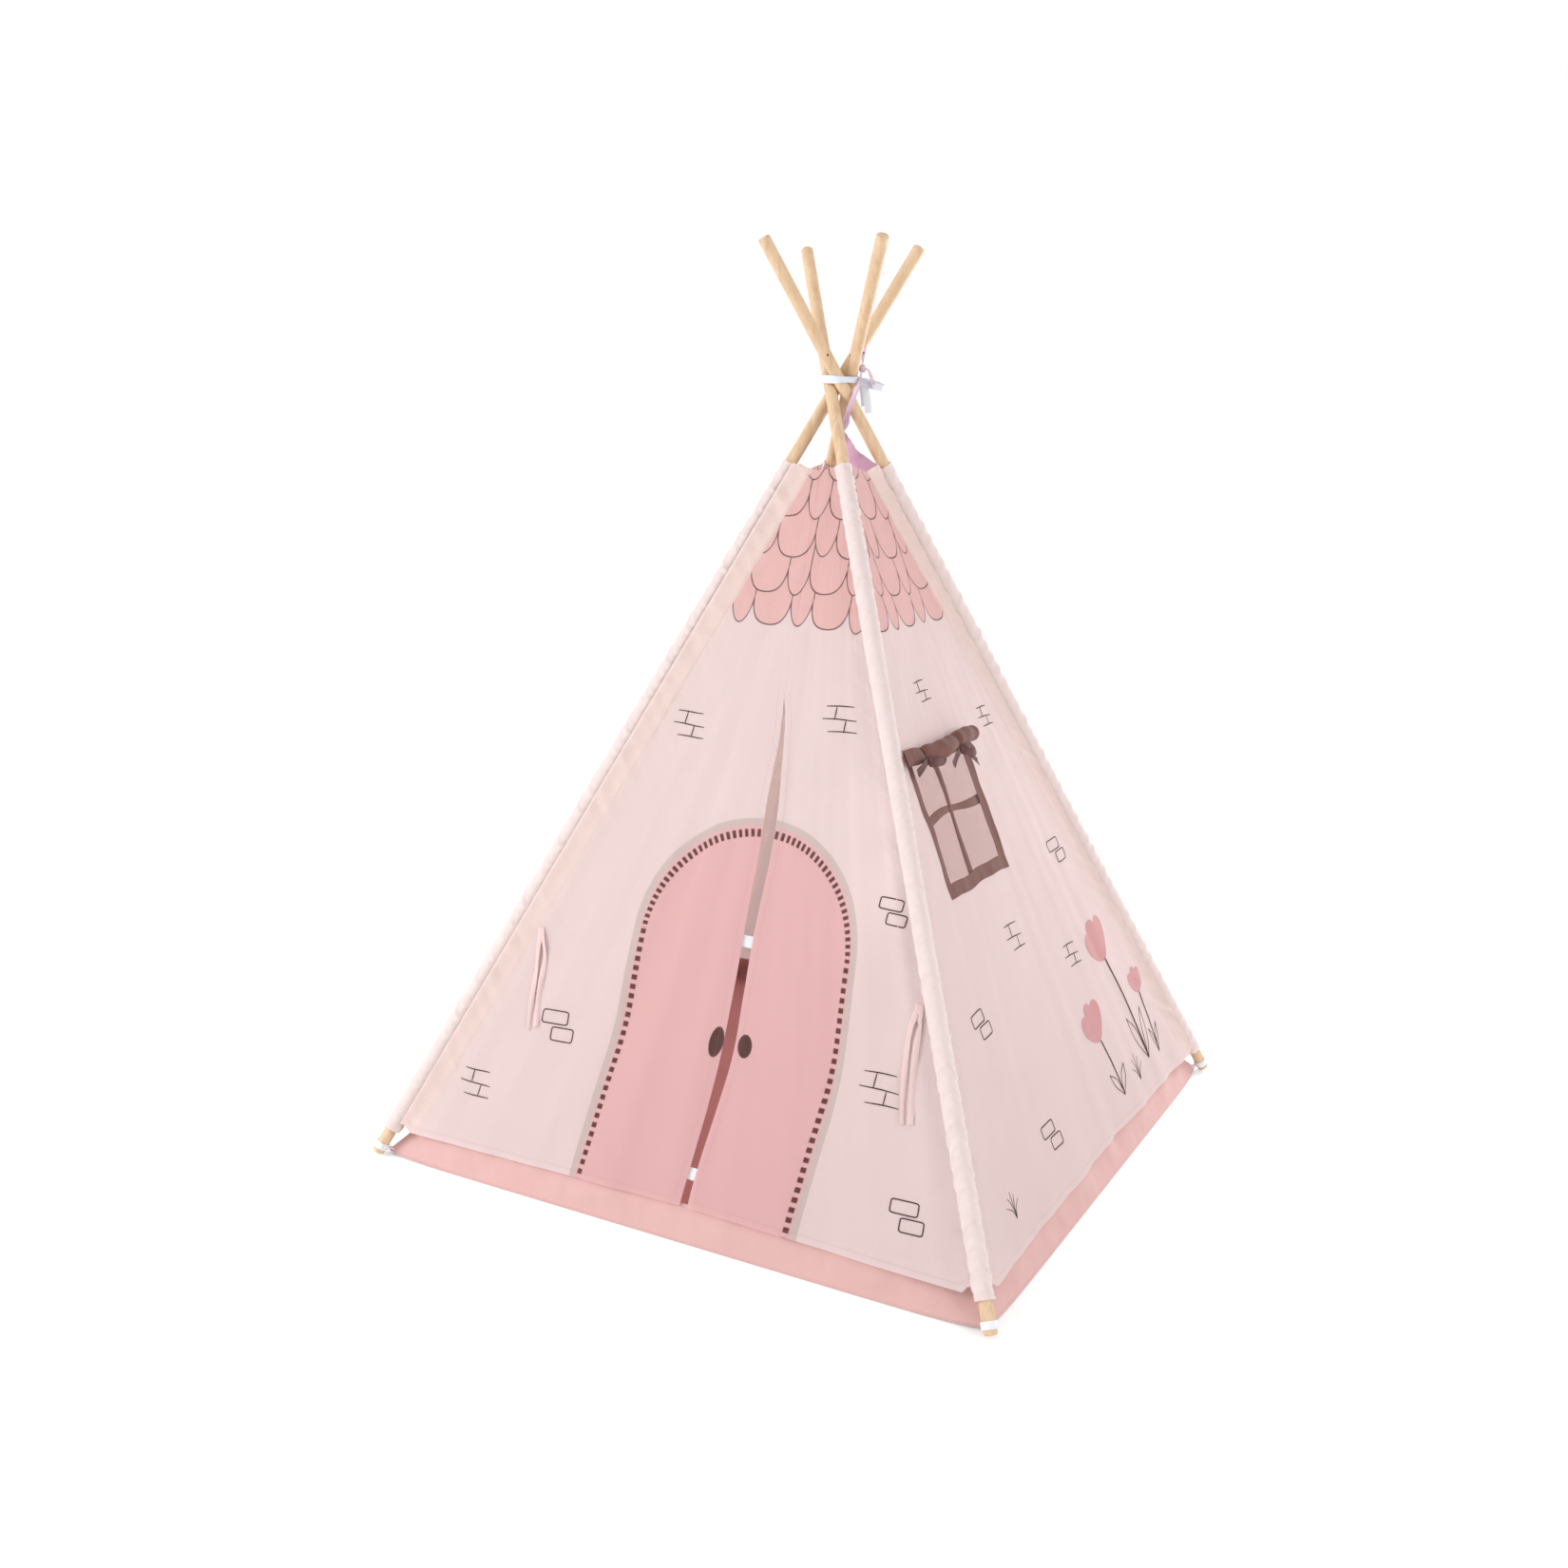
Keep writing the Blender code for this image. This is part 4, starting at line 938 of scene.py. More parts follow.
for corner, corner_name in enumerate(CORNERS):
    obj = piece(f"sleeve_cloth_{corner_name}", [sleeve(corner)], sleeve_cloth, f"pole_{corner_name}",
                [f"sleeve_{corner_name}"])
    wood = pine(corner)
    for section in ("lower", "upper"):
        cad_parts[f"pole_{section}_{corner_name}"].data.materials[0] = wood
    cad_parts[f"ferrule_{corner_name}"].data.materials[0] = steel


# The window

def window_surround():
    """The window's sewn frame: a grid over its outer rectangle, with the opening's cells left out."""
    lines = []
    for edges, counts in (
            ((WINDOW_LEFT, window_left, window_right, WINDOW_LEFT + WINDOW_WIDTH), (4, 38, 6)),
            ((WINDOW_TOP, window_high, window_low, WINDOW_TOP + WINDOW_HEIGHT), (4, 34, 7))):
        near, inner, far = (np.linspace(*run) for run in zip(edges, edges[1:], counts))
        lines.append(np.concatenate([near, inner[1:-1], far]))
    across, down = np.meshgrid(*lines)
    middle_x, middle_y = np.meshgrid(*((line[1:] + line[:-1]) / 2 for line in lines))
    hole = (middle_x > window_left) & (middle_x < window_right)
    hole = hole & (middle_y > window_high) & (middle_y < window_low)
    # the slack cloth pulls its edges into shallow waves
    wavy_x = 0.0016 * np.sin(down * 41) + 0.0009 * np.sin(down * 97 + 1)
    wavy_y = 0.0018 * np.sin(across * 33 + 1) + 0.0010 * np.sin(across * 71)
    out = cloth_rise(1, across, down) + (CLOTH + TRIM) / 2 + 0.0004
    out = out + 0.0009 * ripple((across + down) * 9, 301) ** 2
    return shell(wall_place(1, across + wavy_x, down + wavy_y, out), pairs(across, down), TRIM, ~hole)


def window_bar(start, end, width, out, sag):
    """A cloth bar from side to side of the opening, slack by a sine, with edges that roll in a little."""
    t = np.linspace(0, 1, 34)
    line = np.array(start) + (np.array(end) - start) * t[:, None]
    line = line + np.array(sag) * (np.sin(np.pi * t) + 0.5 * np.sin(2 * np.pi * t))[:, None]
    a, d, _ = wall_axes(1)
    path = on_cloth(1, line[:, 0], line[:, 1], out)
    side = unit(np.gradient(line, axis=0))
    width = width * (1 - 0.22 * np.sin(np.pi * t) + 0.10 * np.sin(9 * t))
    wide = (side[:, 1:] * a - side[:, :1] * d) * width[:, None]
    return ribbon(path, wide, TRIM, crown=0.0012, columns=7)


ON_WINDOW = "cloth_window_wall_front_right"
BAR_TUCK = 0.007  # how far a bar's ends go under the frame
UPRIGHT_WIDTH = 0.0175
CROSS_WIDTH = 0.0165
behind = -(CLOTH + TRIM) / 2 - 0.0004
middle_across = WINDOW_LEFT + WINDOW_WIDTH * 0.43
level = WINDOW_TOP + WINDOW_HEIGHT * 0.46
surround = piece("window_frame_cloth", [window_surround()], mauve_cloth, ON_WINDOW, ["window_surround"])
upright = window_bar((middle_across, window_high - BAR_TUCK), (middle_across - 0.002, window_low + BAR_TUCK),
                     UPRIGHT_WIDTH, behind, (0.005, 0))
upright = piece("window_upright_cloth", [upright], mauve_cloth, ON_WINDOW, ["window_bar_upright"])
cross = window_bar((window_left - BAR_TUCK, level + 0.004), (window_right + BAR_TUCK, level + 0.001),
                   CROSS_WIDTH, behind - TRIM - 0.0006, (0, -0.008))
cross = piece("window_cross_cloth", [cross], mauve_cloth, ON_WINDOW, ["window_bar_cross"])


def curtain_size(share):
    """The roll's half sizes along and out of the wall: drawn in at the ties, pressed flat at its near end."""
    swell = 1 - 0.24 * pinched(share) + 0.05 * np.sin(np.pi * (share - 0.2) / 0.5) + 0.02 * np.sin(share * 31)
    half = CURTAIN_RADIUS * swell
    return half, half * (0.32 + 0.68 * smooth(share / 0.55))


def curtain_line(share):
    """The rolled curtain's axis: along the window's top, a little slack between its ties."""
    across = WINDOW_LEFT - 0.004 + (WINDOW_WIDTH + 0.002) * share
    slack = 0.0035 * np.sin(np.pi * (share - CURTAIN_TIES[0]) / (CURTAIN_TIES[1] - CURTAIN_TIES[0]))
    out = CURTAIN_CLEAR + curtain_size(share)[1]
    return wall_place(1, across, WINDOW_TOP + 0.003 + slack, out + cloth_rise(1, across, WINDOW_TOP))


def pinched(share):
    """1 at the curtain's ties, falling to 0 some 15 mm beside them."""
    return sum(bell((share - tie) * CURTAIN_LENGTH / 0.0085) for tie in CURTAIN_TIES)


def curtain_roll():
    """The rolled curtain: a spiral of cloth carried along its axis, with creases that slant from the ties."""
    a, d, n = wall_axes(1)
    turn = np.linspace(0, 2 * np.pi * 4.6, 170)
    grown = turn / turn[-1]
    share = np.linspace(0, 1, 96)[:, None]
    half, deep = curtain_size(share)
    spiral = 0.14 + 0.80 * grown
    gathers = 0.0012 * np.sin(turn * 3 + share * 24) * pinched(share * 0.98 + 0.012)
    crumple = (gathers + 0.0005 * np.sin(turn * 2 - share * 40)) * grown
    angle = turn - turn[-1] + np.pi * 1.13
    down, out = (size * spiral + crumple for size in (half, deep))
    cut = -1.3 * (out * np.sin(angle) + deep) * (1 - smooth(share / 0.25))  # the near end is cut aslant
    down_part, out_part = down * np.cos(angle), out * np.sin(angle)
    mid = curtain_line(share) + down_part[..., None] * d + out_part[..., None] * n + cut[..., None] * a
    middle = down[48]
    run = np.concatenate([[0], np.cumsum(np.diff(turn) * (middle[1:] + middle[:-1]) / 2)])
    return shell(mid, pairs(share * CURTAIN_LENGTH, run), RIBBON), float(run[-1])


# Each tie's ends as runs of across, down and out from its knot: a tail, a flat loop, and a second tail.
TIE_ENDS = (
    (((0, 0, 0), (-0.018, 0.001, 0.004), (-0.036, 0.007, 0.003), (-0.050, 0.012, 0.000)),
     ((0, 0, 0), (0.020, 0.000, 0.003), (0.046, 0.001, 0.002), (0.064, 0.004, 0.002),
      (0.046, 0.009, 0.005), (0.018, 0.007, 0.006), (0, 0.002, 0.002)),
     ((0, 0, 0), (0.006, 0.009, 0.003), (0.015, 0.022, 0.001))),
    (((0, 0, 0), (-0.014, 0.004, 0.004), (-0.028, 0.010, 0.003), (-0.044, 0.022, 0.000)),
     ((0, 0, 0), (0.018, -0.004, 0.005), (0.040, 0.001, 0.004), (0.050, 0.012, 0.004),
      (0.034, 0.015, 0.008), (0.012, 0.008, 0.007), (0, 0.002, 0.002)),
     ((0, 0, 0), (0.018, 0.011, 0.003), (0.038, 0.024, 0.002), (0.056, 0.034, 0.000))),
)


def curtain_tie(share, ends, seed):
    """A ribbon round the roll: a ring that follows it, a knot low at its front, and its ends."""
    a, d, n = wall_axes(1)
    centre = curtain_line(np.array(share))
    half, deep = (float(size) * 0.97 + RIBBON for size in curtain_size(np.array(share)))
    turn = np.linspace(0, 2 * np.pi, 41)
    path = centre + round_by(turn, half * d, deep * n + 0.003 * a)
    ring = path[:-1, None] + (a * TIE_WIDTH) * np.linspace(-0.5, 0.5, 5)[:, None]
    uv = pairs(np.linspace(0, 0.1, 41)[:, None], np.linspace(0, TIE_WIDTH, 5))
    parts = [shell(ring.transpose(1, 0, 2), uv.transpose(1, 0, 2), RIBBON, wrap=True)]
    front = centre + d * (half * 0.98) + n * (deep * 0.50 + 0.004)
    parts.append(knot_of(front, TIE_KNOT, seed))
    for line in ends:
        line = curve(line, 8)
        path = front + line @ np.array((a, d, n))
        ahead = unit(np.gradient(line, axis=0))
        across = unit(-ahead[:, 1:2] * a + ahead[:, :1] * d + 0.25 * n)
        parts.append(ribbon(path, across * np.linspace(0.0100, 0.0160, len(path))[:, None]))
    return parts


roll, roll_run = curtain_roll()
for label, share, ends, seed in zip(("near", "far"), CURTAIN_TIES, TIE_ENDS, (2, 3)):
    tie = curtain_tie(share, ends, seed)
    piece(f"curtain_ribbon_{label}", tie, mauve_ties, ON_WINDOW, [f"curtain_tie_{label}"],
                      weld=True)
curtain = piece("rolled_curtain", [roll], mauve_cloth, ON_WINDOW, ["window_curtain"])


# Door tabs and tie-backs

TAB_PAST = 0.011  # how far a tab reaches beyond the slit's edge

for label, place in zip(("upper", "lower"), TAB_PLACES):
    left, right = slit_edge(-1, np.array(place)) - TAB_PAST, slit_edge(1, np.array(place)) - 0.0003
    high, low = place - TAPE_WIDTH / 2, place + TAPE_WIDTH / 2
    across, down = np.meshgrid(np.linspace(left, right, 12), np.linspace(high, low, 9))
    behind_flap = flap_curl(-1, slit_edge(-1, down), down) - CLOTH / 2 - 0.0016
    mid = on_cloth(0, across, down, behind_flap - 0.0006 * np.sin((down - place) * 150) ** 2)
    obj = piece(f"door_tape_{label}", [shell(mid, pairs(down, across), RIBBON)], white_tape, "flap_left",
                [f"door_tab_{label}"])
    float(right - left)

TIEBACK_WIDTH = 0.0108
TIEBACK_LINES = {  # across and down of the two halves of each doubled ribbon
    "left": (((-0.3585, 1.042), (-0.3520, 1.105), (-0.3440, 1.165), (-0.3340, 1.2225)),
             ((-0.3575, 1.042), (-0.3380, 1.100), (-0.3300, 1.160), (-0.3200, 1.2140))),
    "right": (((0.3825, 1.042), (0.3765, 1.095), (0.3840, 1.165), (0.3950, 1.2300)),
              ((0.3845, 1.042), (0.3910, 1.090), (0.3990, 1.160), (0.4085, 1.2270))),
}
for label, lines in TIEBACK_LINES.items():
    parts = []
    for k, line in enumerate(lines):
        line = curve(line, 12)
        t = np.linspace(0, 1, len(line))
        path = on_cloth(0, line[:, 0], line[:, 1], 0.0018 + 0.0012 * np.sin(t * 7 + k) ** 2 * smooth(t * 4))
        a, _, n = wall_axes(0)
        twist = 0.45 * np.sin(t * 5 + k * 1.3) * smooth(t * 4)
        wide = round_by(twist, a, n) * (TIEBACK_WIDTH + 0.0012 * np.sin(5 * t + k))[:, None]
        parts.append(ribbon(path, wide, crown=0.0013, columns=7))
    obj = piece(f"tieback_ribbon_{label}", parts, pink_ribbon, f"cloth_door_wall_front_{label}",
                [f"tieback_{label}"])


# Ribbon and strap at the crossing

def pole_at(corner, height):
    """Where a pole's middle passes each height."""
    foot, _, _, along = pole_axes(corner)
    return foot + along * np.asarray((height - foot[2]) / along[2])[..., None]


def round_poles(height, tilt, clear, steps=9):
    """A closed line pulled round the four poles: a quarter arc on each, joined by straight runs."""
    arcs = []
    reach = POLE_RADIUS / along_zero[2] + clear
    centres = np.array([pole_at(corner, height) for corner in range(4)])
    middles = np.arctan2(centres[:, 1], centres[:, 0])
    for corner in np.argsort(middles):
        angle = middles[corner] + np.pi / 2 * (np.linspace(0, 1, steps) - 0.5)
        level = height + tilt * np.cos(angle - 0.6)
        arcs.append(pole_at(corner, level) + level_way(np.degrees(angle)) * reach)
    return np.concatenate(arcs)


def crossing_bow():
    """The white ribbon: two turns round the poles, a knot at its front, a loop each side and two tails."""
    parts = []
    height = CROSSING_HEIGHT + BOW_ABOVE
    t = np.linspace(-0.5, 0.5, 5)
    for clear, tilt, shift in ((0.0012, 0.0012, -0.0005), (0.0024, -0.0014, 0.0012)):
        low, high = (round_poles(height + shift + edge * BOW_WIDTH / 2, tilt, clear) for edge in (-1, 1))
        grid = low + (high - low) * (t[:, None, None] + 0.5)
        run = run_of(np.concatenate([low, low[:1]]))
        parts.append(shell(grid, pairs(t[:, None] * BOW_WIDTH, run), RIBBON, wrap=True))
    out = level_way(BOW_AZIMUTH)
    reach = max(round_poles(height, 0, 0.003) @ out)
    start = out * (reach + 0.003) + UP * height
    parts.append(knot_of(start, BOW_KNOT, 5))
    for turn, drop, length, gape in ((-22, 0.25, 0.046, 0.011), (75, 0.15, 0.032, 0.010)):
        ahead = level_way(BOW_AZIMUTH + turn)
        belly = np.cross(UP, ahead) * gape
        tip = start + ahead * length - UP * length * drop
        half = (start + tip) / 2
        loop = curve([start + belly * 0.1, half + belly + UP * 0.003, tip,
                      half - belly * 0.7 - UP * 0.002, start - belly * 0.1], 10)
        parts.append(ribbon(loop, UP * 0.011 + ahead * 0.004, crown=0.0006))
    for turn, length in ((-30, 0.056), (22, 0.044)):
        ahead = level_way(BOW_AZIMUTH + turn)
        tail = [start + ahead * out - UP * length * drop
                for out, drop in ((0, 0), (0.012, 0.18), (0.018, 0.6), (0.021, 1.0))]
        parts.append(ribbon(curve(tail, 8), np.array((0.85, 0.52, 0.0)) * 0.0125))
    return parts


STRAP_ROUTE = np.array((
    (0.36, 0.52, -3.00), (0.86, -0.30, -2.50), (1.36, -0.84, -1.80), (1.61, -0.66, -0.91),
    (1.66, 0.00, -0.09), (1.64, 0.48, 0.68), (1.57, 0.91, 1.45), (1.41, 1.36, 2.27),
)) * 2 * POLE_RADIUS


def strap():
    """The lilac strap: sewn to the tongue, over a pole and the ribbon, and knotted round another pole."""
    tongue = top_down - TONGUE_RISE
    inside = -wall_axes(2)[2]
    under = -(CLOTH + RIBBON) / 2 - 0.0004
    sewn = [wall_place(2, crease(2, tongue + x), tongue + x, under) for x in (0.020, 0.0067)]
    _, pin, inward, along = pole_axes(3)
    centre = pole_at(3, CROSSING_HEIGHT + STRAP_ABOVE)
    route = CROSSING + STRAP_ROUTE
    toward = route[-1] - centre
    toward = toward - along * toward.dot(along)
    reach = POLE_RADIUS + 0.0007
    lean = math.acos(reach / np.linalg.norm(toward))
    turned = Matrix.Rotation(lean, 3, Vector(along)) @ Vector(unit(toward))
    tied = centre + np.array(turned) * reach
    path = np.concatenate([[sewn[0]], curve([sewn[1], *route, tied], 8)])
    share = np.linspace(0, 1, len(path))[:, None]
    side, pole_face = np.array((1.0, 0, 0)), unit(tied - centre)
    bend = 0.57  # the share of its length at which the strap has turned from the wall's face to the side
    near, far = share / bend, (share - bend) / (1 - bend)
    face = np.where(share < bend, inside + (side - inside) * near, side + (pole_face - side) * far)
    ahead = unit(np.gradient(path, axis=0))
    width = STRAP_WIDTH + 0.0065 * smooth((0.042 - run_of(path)[:, None]) / 0.028)
    parts = [ribbon(path, unit(np.cross(ahead, face)) * width, crown=0.0012, columns=7)]
    turn = np.linspace(0, 2 * np.pi, 33)[:-1]
    t = np.linspace(-0.5, 0.5, 5)[:, None]
    for shift, tilt in ((-0.004, 0.15), (0.004, -0.12)):
        level = t * TIE_WIDTH + tilt * POLE_RADIUS * np.cos(turn + 1) + shift
        out = reach + 0.0004 + 0.0003 * np.sin(5 * turn)
        grid = centre + level[..., None] * along + out[:, None] * round_by(turn, pin, inward)
        parts.append(shell(grid, pairs(t * TIE_WIDTH, np.linspace(0, 0.073, 33)), 0.0009, wrap=True))
    knot_place = route[-2]
    parts.append(knot_of(knot_place, STRAP_KNOT, 3))
    for sway, length in ((0.010, 0.034), (0.017, 0.026)):
        tail = knot_place + np.array(((0, 0, 0), (0.010, sway * 0.4, -0.004), (0.017, sway, -length)))
        parts.append(ribbon(curve(tail, 8), unit(np.array((-0.3, 1.0, 0.1))) * 0.0085))
    return parts


bow = piece("crossing_bow_ribbon", crossing_bow(), white_satin, "crossing", ["crossing_ribbon"],
            weld=True)
lilac = piece("tongue_strap", strap(), lilac_tape, "crossing", ["cover_strap"], weld=True)


# Mat and foot loops

MAT_BORDER = 0.057  # how high the mat's border stands behind the hems
MAT_LIFT = 0.006  # how far the loops lift its corners
MAT_DRAWN = 0.007  # how far they draw them in
MAT_REACH = 0.050  # how far from a corner that is felt
MAT_CLEAR = 0.0062  # between the border and the wall's cloth, middle to middle
MAT_EDGE = 0.0015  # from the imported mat's edge to where the border turns up
MAT_SLANT = 1.09  # a wall's out as a length on the level: 1 / cos(wall_tilt)


def mat_border(side, half):
    """A side of the mat, turned up behind the cover's hem. It meets its neighbours at the corners.

    Its upper part keeps just inside the wall's cloth, and the loops draw its ends in and up.
    """
    t, share = np.meshgrid(np.linspace(0, 1, 14), np.linspace(-1, 1, 260), indexing="ij")
    up = smooth(t / 0.72)
    z = 0.0012 + (MAT_BORDER - 0.0012) * t
    plane = BASE_SIDE / 2 * (1 - z / CROSSING_HEIGHT)
    corner = half - MAT_EDGE + (plane - BASE_SIDE / 2) - 0.0105 * up - 0.006 - 0.012 * t
    along = share * corner
    near = np.exp(-(1 - np.abs(share)) * half / MAT_REACH)
    behind = MAT_SLANT * (cloth_rise(side, along, down_at(z)) - MAT_CLEAR)
    out = plane + (half - MAT_EDGE - BASE_SIDE / 2) * (1 - up) + behind * up
    folds = 0.0034 * ripple(along * 6.0 + t * 0.12, 411 + side)
    folds = folds + 0.0014 * ripple(along * 19.0 + t * 0.5, 431 + side)
    out = out + folds * np.sin(np.pi * np.minimum(t * 1.25, 1.0))
    out = out + (corner - out) * near
    c, s = math.cos(math.pi / 2 * side), math.sin(math.pi / 2 * side)
    mid = np.stack([c * along + s * out, s * along - c * out, z + MAT_LIFT * near], -1)
    high = MAT_BORDER * t
    u, v = c * along + s * (half + high), s * along - c * (half + high)
    thickness = 0.0016 + 0.0010 * smooth((0.10 - np.abs(t - 0.97)) / 0.05)
    return shell(mid, pairs(u, v), thickness, fields={"inner": 0.0})


def mat():
    """The floor mat: a square grid, bound at its edge, with a border that stands up on each side."""
    half = float(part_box("floor_mat")[1][0])
    border = np.array((0, 0.003, 0.006, 0.010, 0.016, 0.024, 0.034, 0.046, 0.060))
    line = np.concatenate([-half + border, np.linspace(-half + 0.075, half - 0.075, 96), half - border[::-1]])
    x, y = np.meshgrid(line, line)
    edge = half - np.maximum(np.abs(x), np.abs(y))
    near = np.exp(-(2 * half - np.abs(x) - np.abs(y)) / MAT_REACH)
    lift = 0.0012 * (0.5 + 0.5 * ripple(x * 3.1 + y * 1.7, 402)) * smooth(edge / 0.05)
    thickness = 0.0018 + 0.0022 * smooth((0.010 - edge) / 0.004) * smooth((edge + 0.001) / 0.004)
    height = thickness / 2 + 0.0001 + lift + MAT_LIFT * near
    drawn = MAT_DRAWN * near
    mid = np.stack([x - np.sign(x) * drawn, y - np.sign(y) * drawn, height], -1)
    floor = shell(mid, pairs(x, y), thickness, fields={"inner": smooth((edge - 0.004) / 0.010)})
    return [floor] + [mat_border(side, half) for side in range(4)], half


parts, half = mat()
obj = piece("padded_mat", parts, mat_cloth, "floor", ["floor_mat"])
2 * (half + MAT_BORDER)
2 * (half + MAT_BORDER)


def foot_loop(corner):
    """An elastic loop round a pole's foot, gathered a little, and the tab that is sewn to the mat."""
    foot, pin, inward, along = pole_axes(corner)
    turn = np.linspace(0, 2 * np.pi, 41)[:-1]
    t = np.linspace(0, 1, 7)[:, None]
    swell = (0.0004 * np.sin(turn * 9 + corner) + 0.0006) * np.sin(np.pi * t)
    radius = POLE_RADIUS + 0.0009 + swell
    level = LOOP_LOW + LOOP_WIDTH * t
    grid = foot + level[..., None] * along + radius[..., None] * round_by(turn, pin, inward)
    parts = [shell(grid, pairs(t * LOOP_WIDTH, np.linspace(0, 0.075, 41)), 0.0011, wrap=True)]
    outward, clockwise = level_way(90 * corner - 45), level_way(90 * corner - 135)
    start = foot + along * TAB_HIGH + inward * (POLE_RADIUS + 0.0011)
    end = start - outward * 0.022
    end[2] = 0.0045 + MAT_LIFT * 0.6
    middle = (start + end) / 2
    middle[2] = (start[2] + 2 * end[2]) / 3
    parts.append(ribbon(curve([start, middle, end], 8), clockwise * LOOP_WIDTH, 0.0010, crown=0.0004))
    return parts


for corner, corner_name in enumerate(CORNERS):
    obj = piece(f"elastic_loop_{corner_name}", foot_loop(corner), white_tape, "floor",
                [f"foot_loop_{corner_name}"])


# Printed marks

ink = plain_cloth("brown_ink", tone(78, 52, 52), tone(64, 42, 42), (200.0, 200.0, 1.0), 0.0002)
petal_ink = plain_cloth("pink_ink", tone(201, 147, 148), tone(191, 135, 137), (60.0, 60.0, 1.0), 0.0002)
INK_LIFT = CLOTH / 2 + 0.00035
INK = 0.0003
OUTLINE, STEM, LEAF, BLADE = 0.0021, 0.0045, 0.0017, 0.0012  # widths of printed lines


def leaned(across, down, x, y, lean):
    """Places x and y from a point on the wall, turned about it by a lean."""
    c, s = math.cos(lean), math.sin(lean)
    return pairs(across + x * c - y * s, down + x * s + y * c)


def stroke(wall, line, width=OUTLINE, taper=0.0):
    """A printed line on a wall: a band along a curve, narrowed by the square of the way to its ends."""
    line = np.asarray(line, float)
    ahead = unit(np.gradient(line, axis=0))
    t = np.linspace(0, 1, len(line))
    wide = width * (1 - taper * np.abs(2 * t - 1) ** 2)
    side = np.stack([ahead[:, 1], -ahead[:, 0]], -1) * wide[:, None] / 2
    grid = line[:, None] + side[:, None] * np.array((-1.0, 1.0))[:, None]
    mid = on_cloth(wall, grid[..., 0], grid[..., 1], INK_LIFT)
    return shell(mid, grid, INK)


def blot(wall, centre, length, width, turn):
    """A printed petal: an oval that is narrower towards one end, as rings round its middle."""
    ring = np.linspace(0, 2 * np.pi, 29)[:-1]
    share = np.linspace(0.02, 1, 5)[:, None]
    x = share * np.sin(ring) * width / 2 * (1 - 0.28 * np.cos(ring))
    y = -share * np.cos(ring) * length / 2
    uv = leaned(*centre, x, y, turn)
    mid = on_cloth(wall, uv[..., 0], uv[..., 1], INK_LIFT)
    return shell(mid, np.concatenate([uv, uv[:, :1]], 1), INK, wrap=True)


def brick_pair(wall, across, down, scale=1.0, lean=0.0):
    """Two bricks as closed outlines with rounded corners, the lower one set off by half."""
    turn = np.linspace(0, 2 * np.pi, 49)
    marks = []
    for dx, dy, wide in ((0.0, -0.013, 0.024), (0.017, 0.013, 0.020)):
        x, y = np.cos(turn), np.sin(turn)
        x = (np.sign(x) * np.abs(x) ** 0.22 * wide + dx) * scale
        y = (np.sign(y) * np.abs(y) ** 0.30 * 0.0105 + dy) * scale
        marks.append(stroke(wall, leaned(across, down, x, y, lean)))
    return marks


BRICK_STROKES = (  # from and to, across and down
    ((-0.030, -0.022), (0.022, -0.023)), ((-0.034, 0.0), (0.030, 0.001)), ((-0.020, 0.022), (0.034, 0.021)),
    ((-0.010, -0.022), (-0.011, 0.0)), ((0.010, 0.001), (0.009, 0.022)))


def brick_mark(wall, across, down, scale=1.0, lean=0.0):
    """A bit of brickwork: three level strokes and the upright joints between them, set off by half."""
    marks = []
    t = np.linspace(0, 1, 9)
    for (x0, y0), (x1, y1) in BRICK_STROKES:
        x = (x0 + (x1 - x0) * t) * scale
        y = (y0 + (y1 - y0) * t) * scale + 0.0006 * np.sin(t * 5 + across * 60)
        marks.append(stroke(wall, leaned(across, down, x, y, lean), taper=0.35))
    return marks


def tulip(wall, across, down, height, lean, size=1.0):
    """A tulip's lines, which are a curved stem from its foot and two leaves, and its three petals."""
    t = np.linspace(0, 1, 25)
    line = pairs(across + lean * t ** 1.6, down - height * t)
    tip, before = line[-1], line[-3]
    angle = math.atan2(tip[0] - before[0], before[1] - tip[1])
    lines = [stroke(wall, line, STEM)]
    for side in (-1, 1):
        point = (across + side * 0.021 * size, down - height * 0.42)
        leaf = [(across, down), (across + side * 0.016 * size, down - height * 0.22), point]
        back = [point, (across + side * 0.007 * size, down - height * 0.28), (across, down - 0.004)]
        lines += [stroke(wall, curve(edge, 10), LEAF) for edge in (leaf, back)]
    fills = []
    for turn in (-0.62, 0.62, 0.0):
        way = angle + turn
        middle = (tip[0] + math.sin(way) * 0.020 * size, tip[1] - math.cos(way) * 0.020 * size)
        fills.append(blot(wall, middle, 0.046 * size, 0.024 * size, way + math.pi))
    return lines, fills


def grass(wall, across, down, size=1.0):
    """A tuft of five curved blades."""
    blades = []
    for lean, height in ((-0.024, 0.026), (-0.012, 0.038), (0.001, 0.044), (0.013, 0.036), (0.025, 0.024)):
        blade = [(across, down), (across + lean * 0.35 * size, down - height * 0.6 * size),
                 (across + lean * size, down - height * size)]
        blades.append(stroke(wall, curve(blade, 8), BLADE, taper=0.6))
    return blades


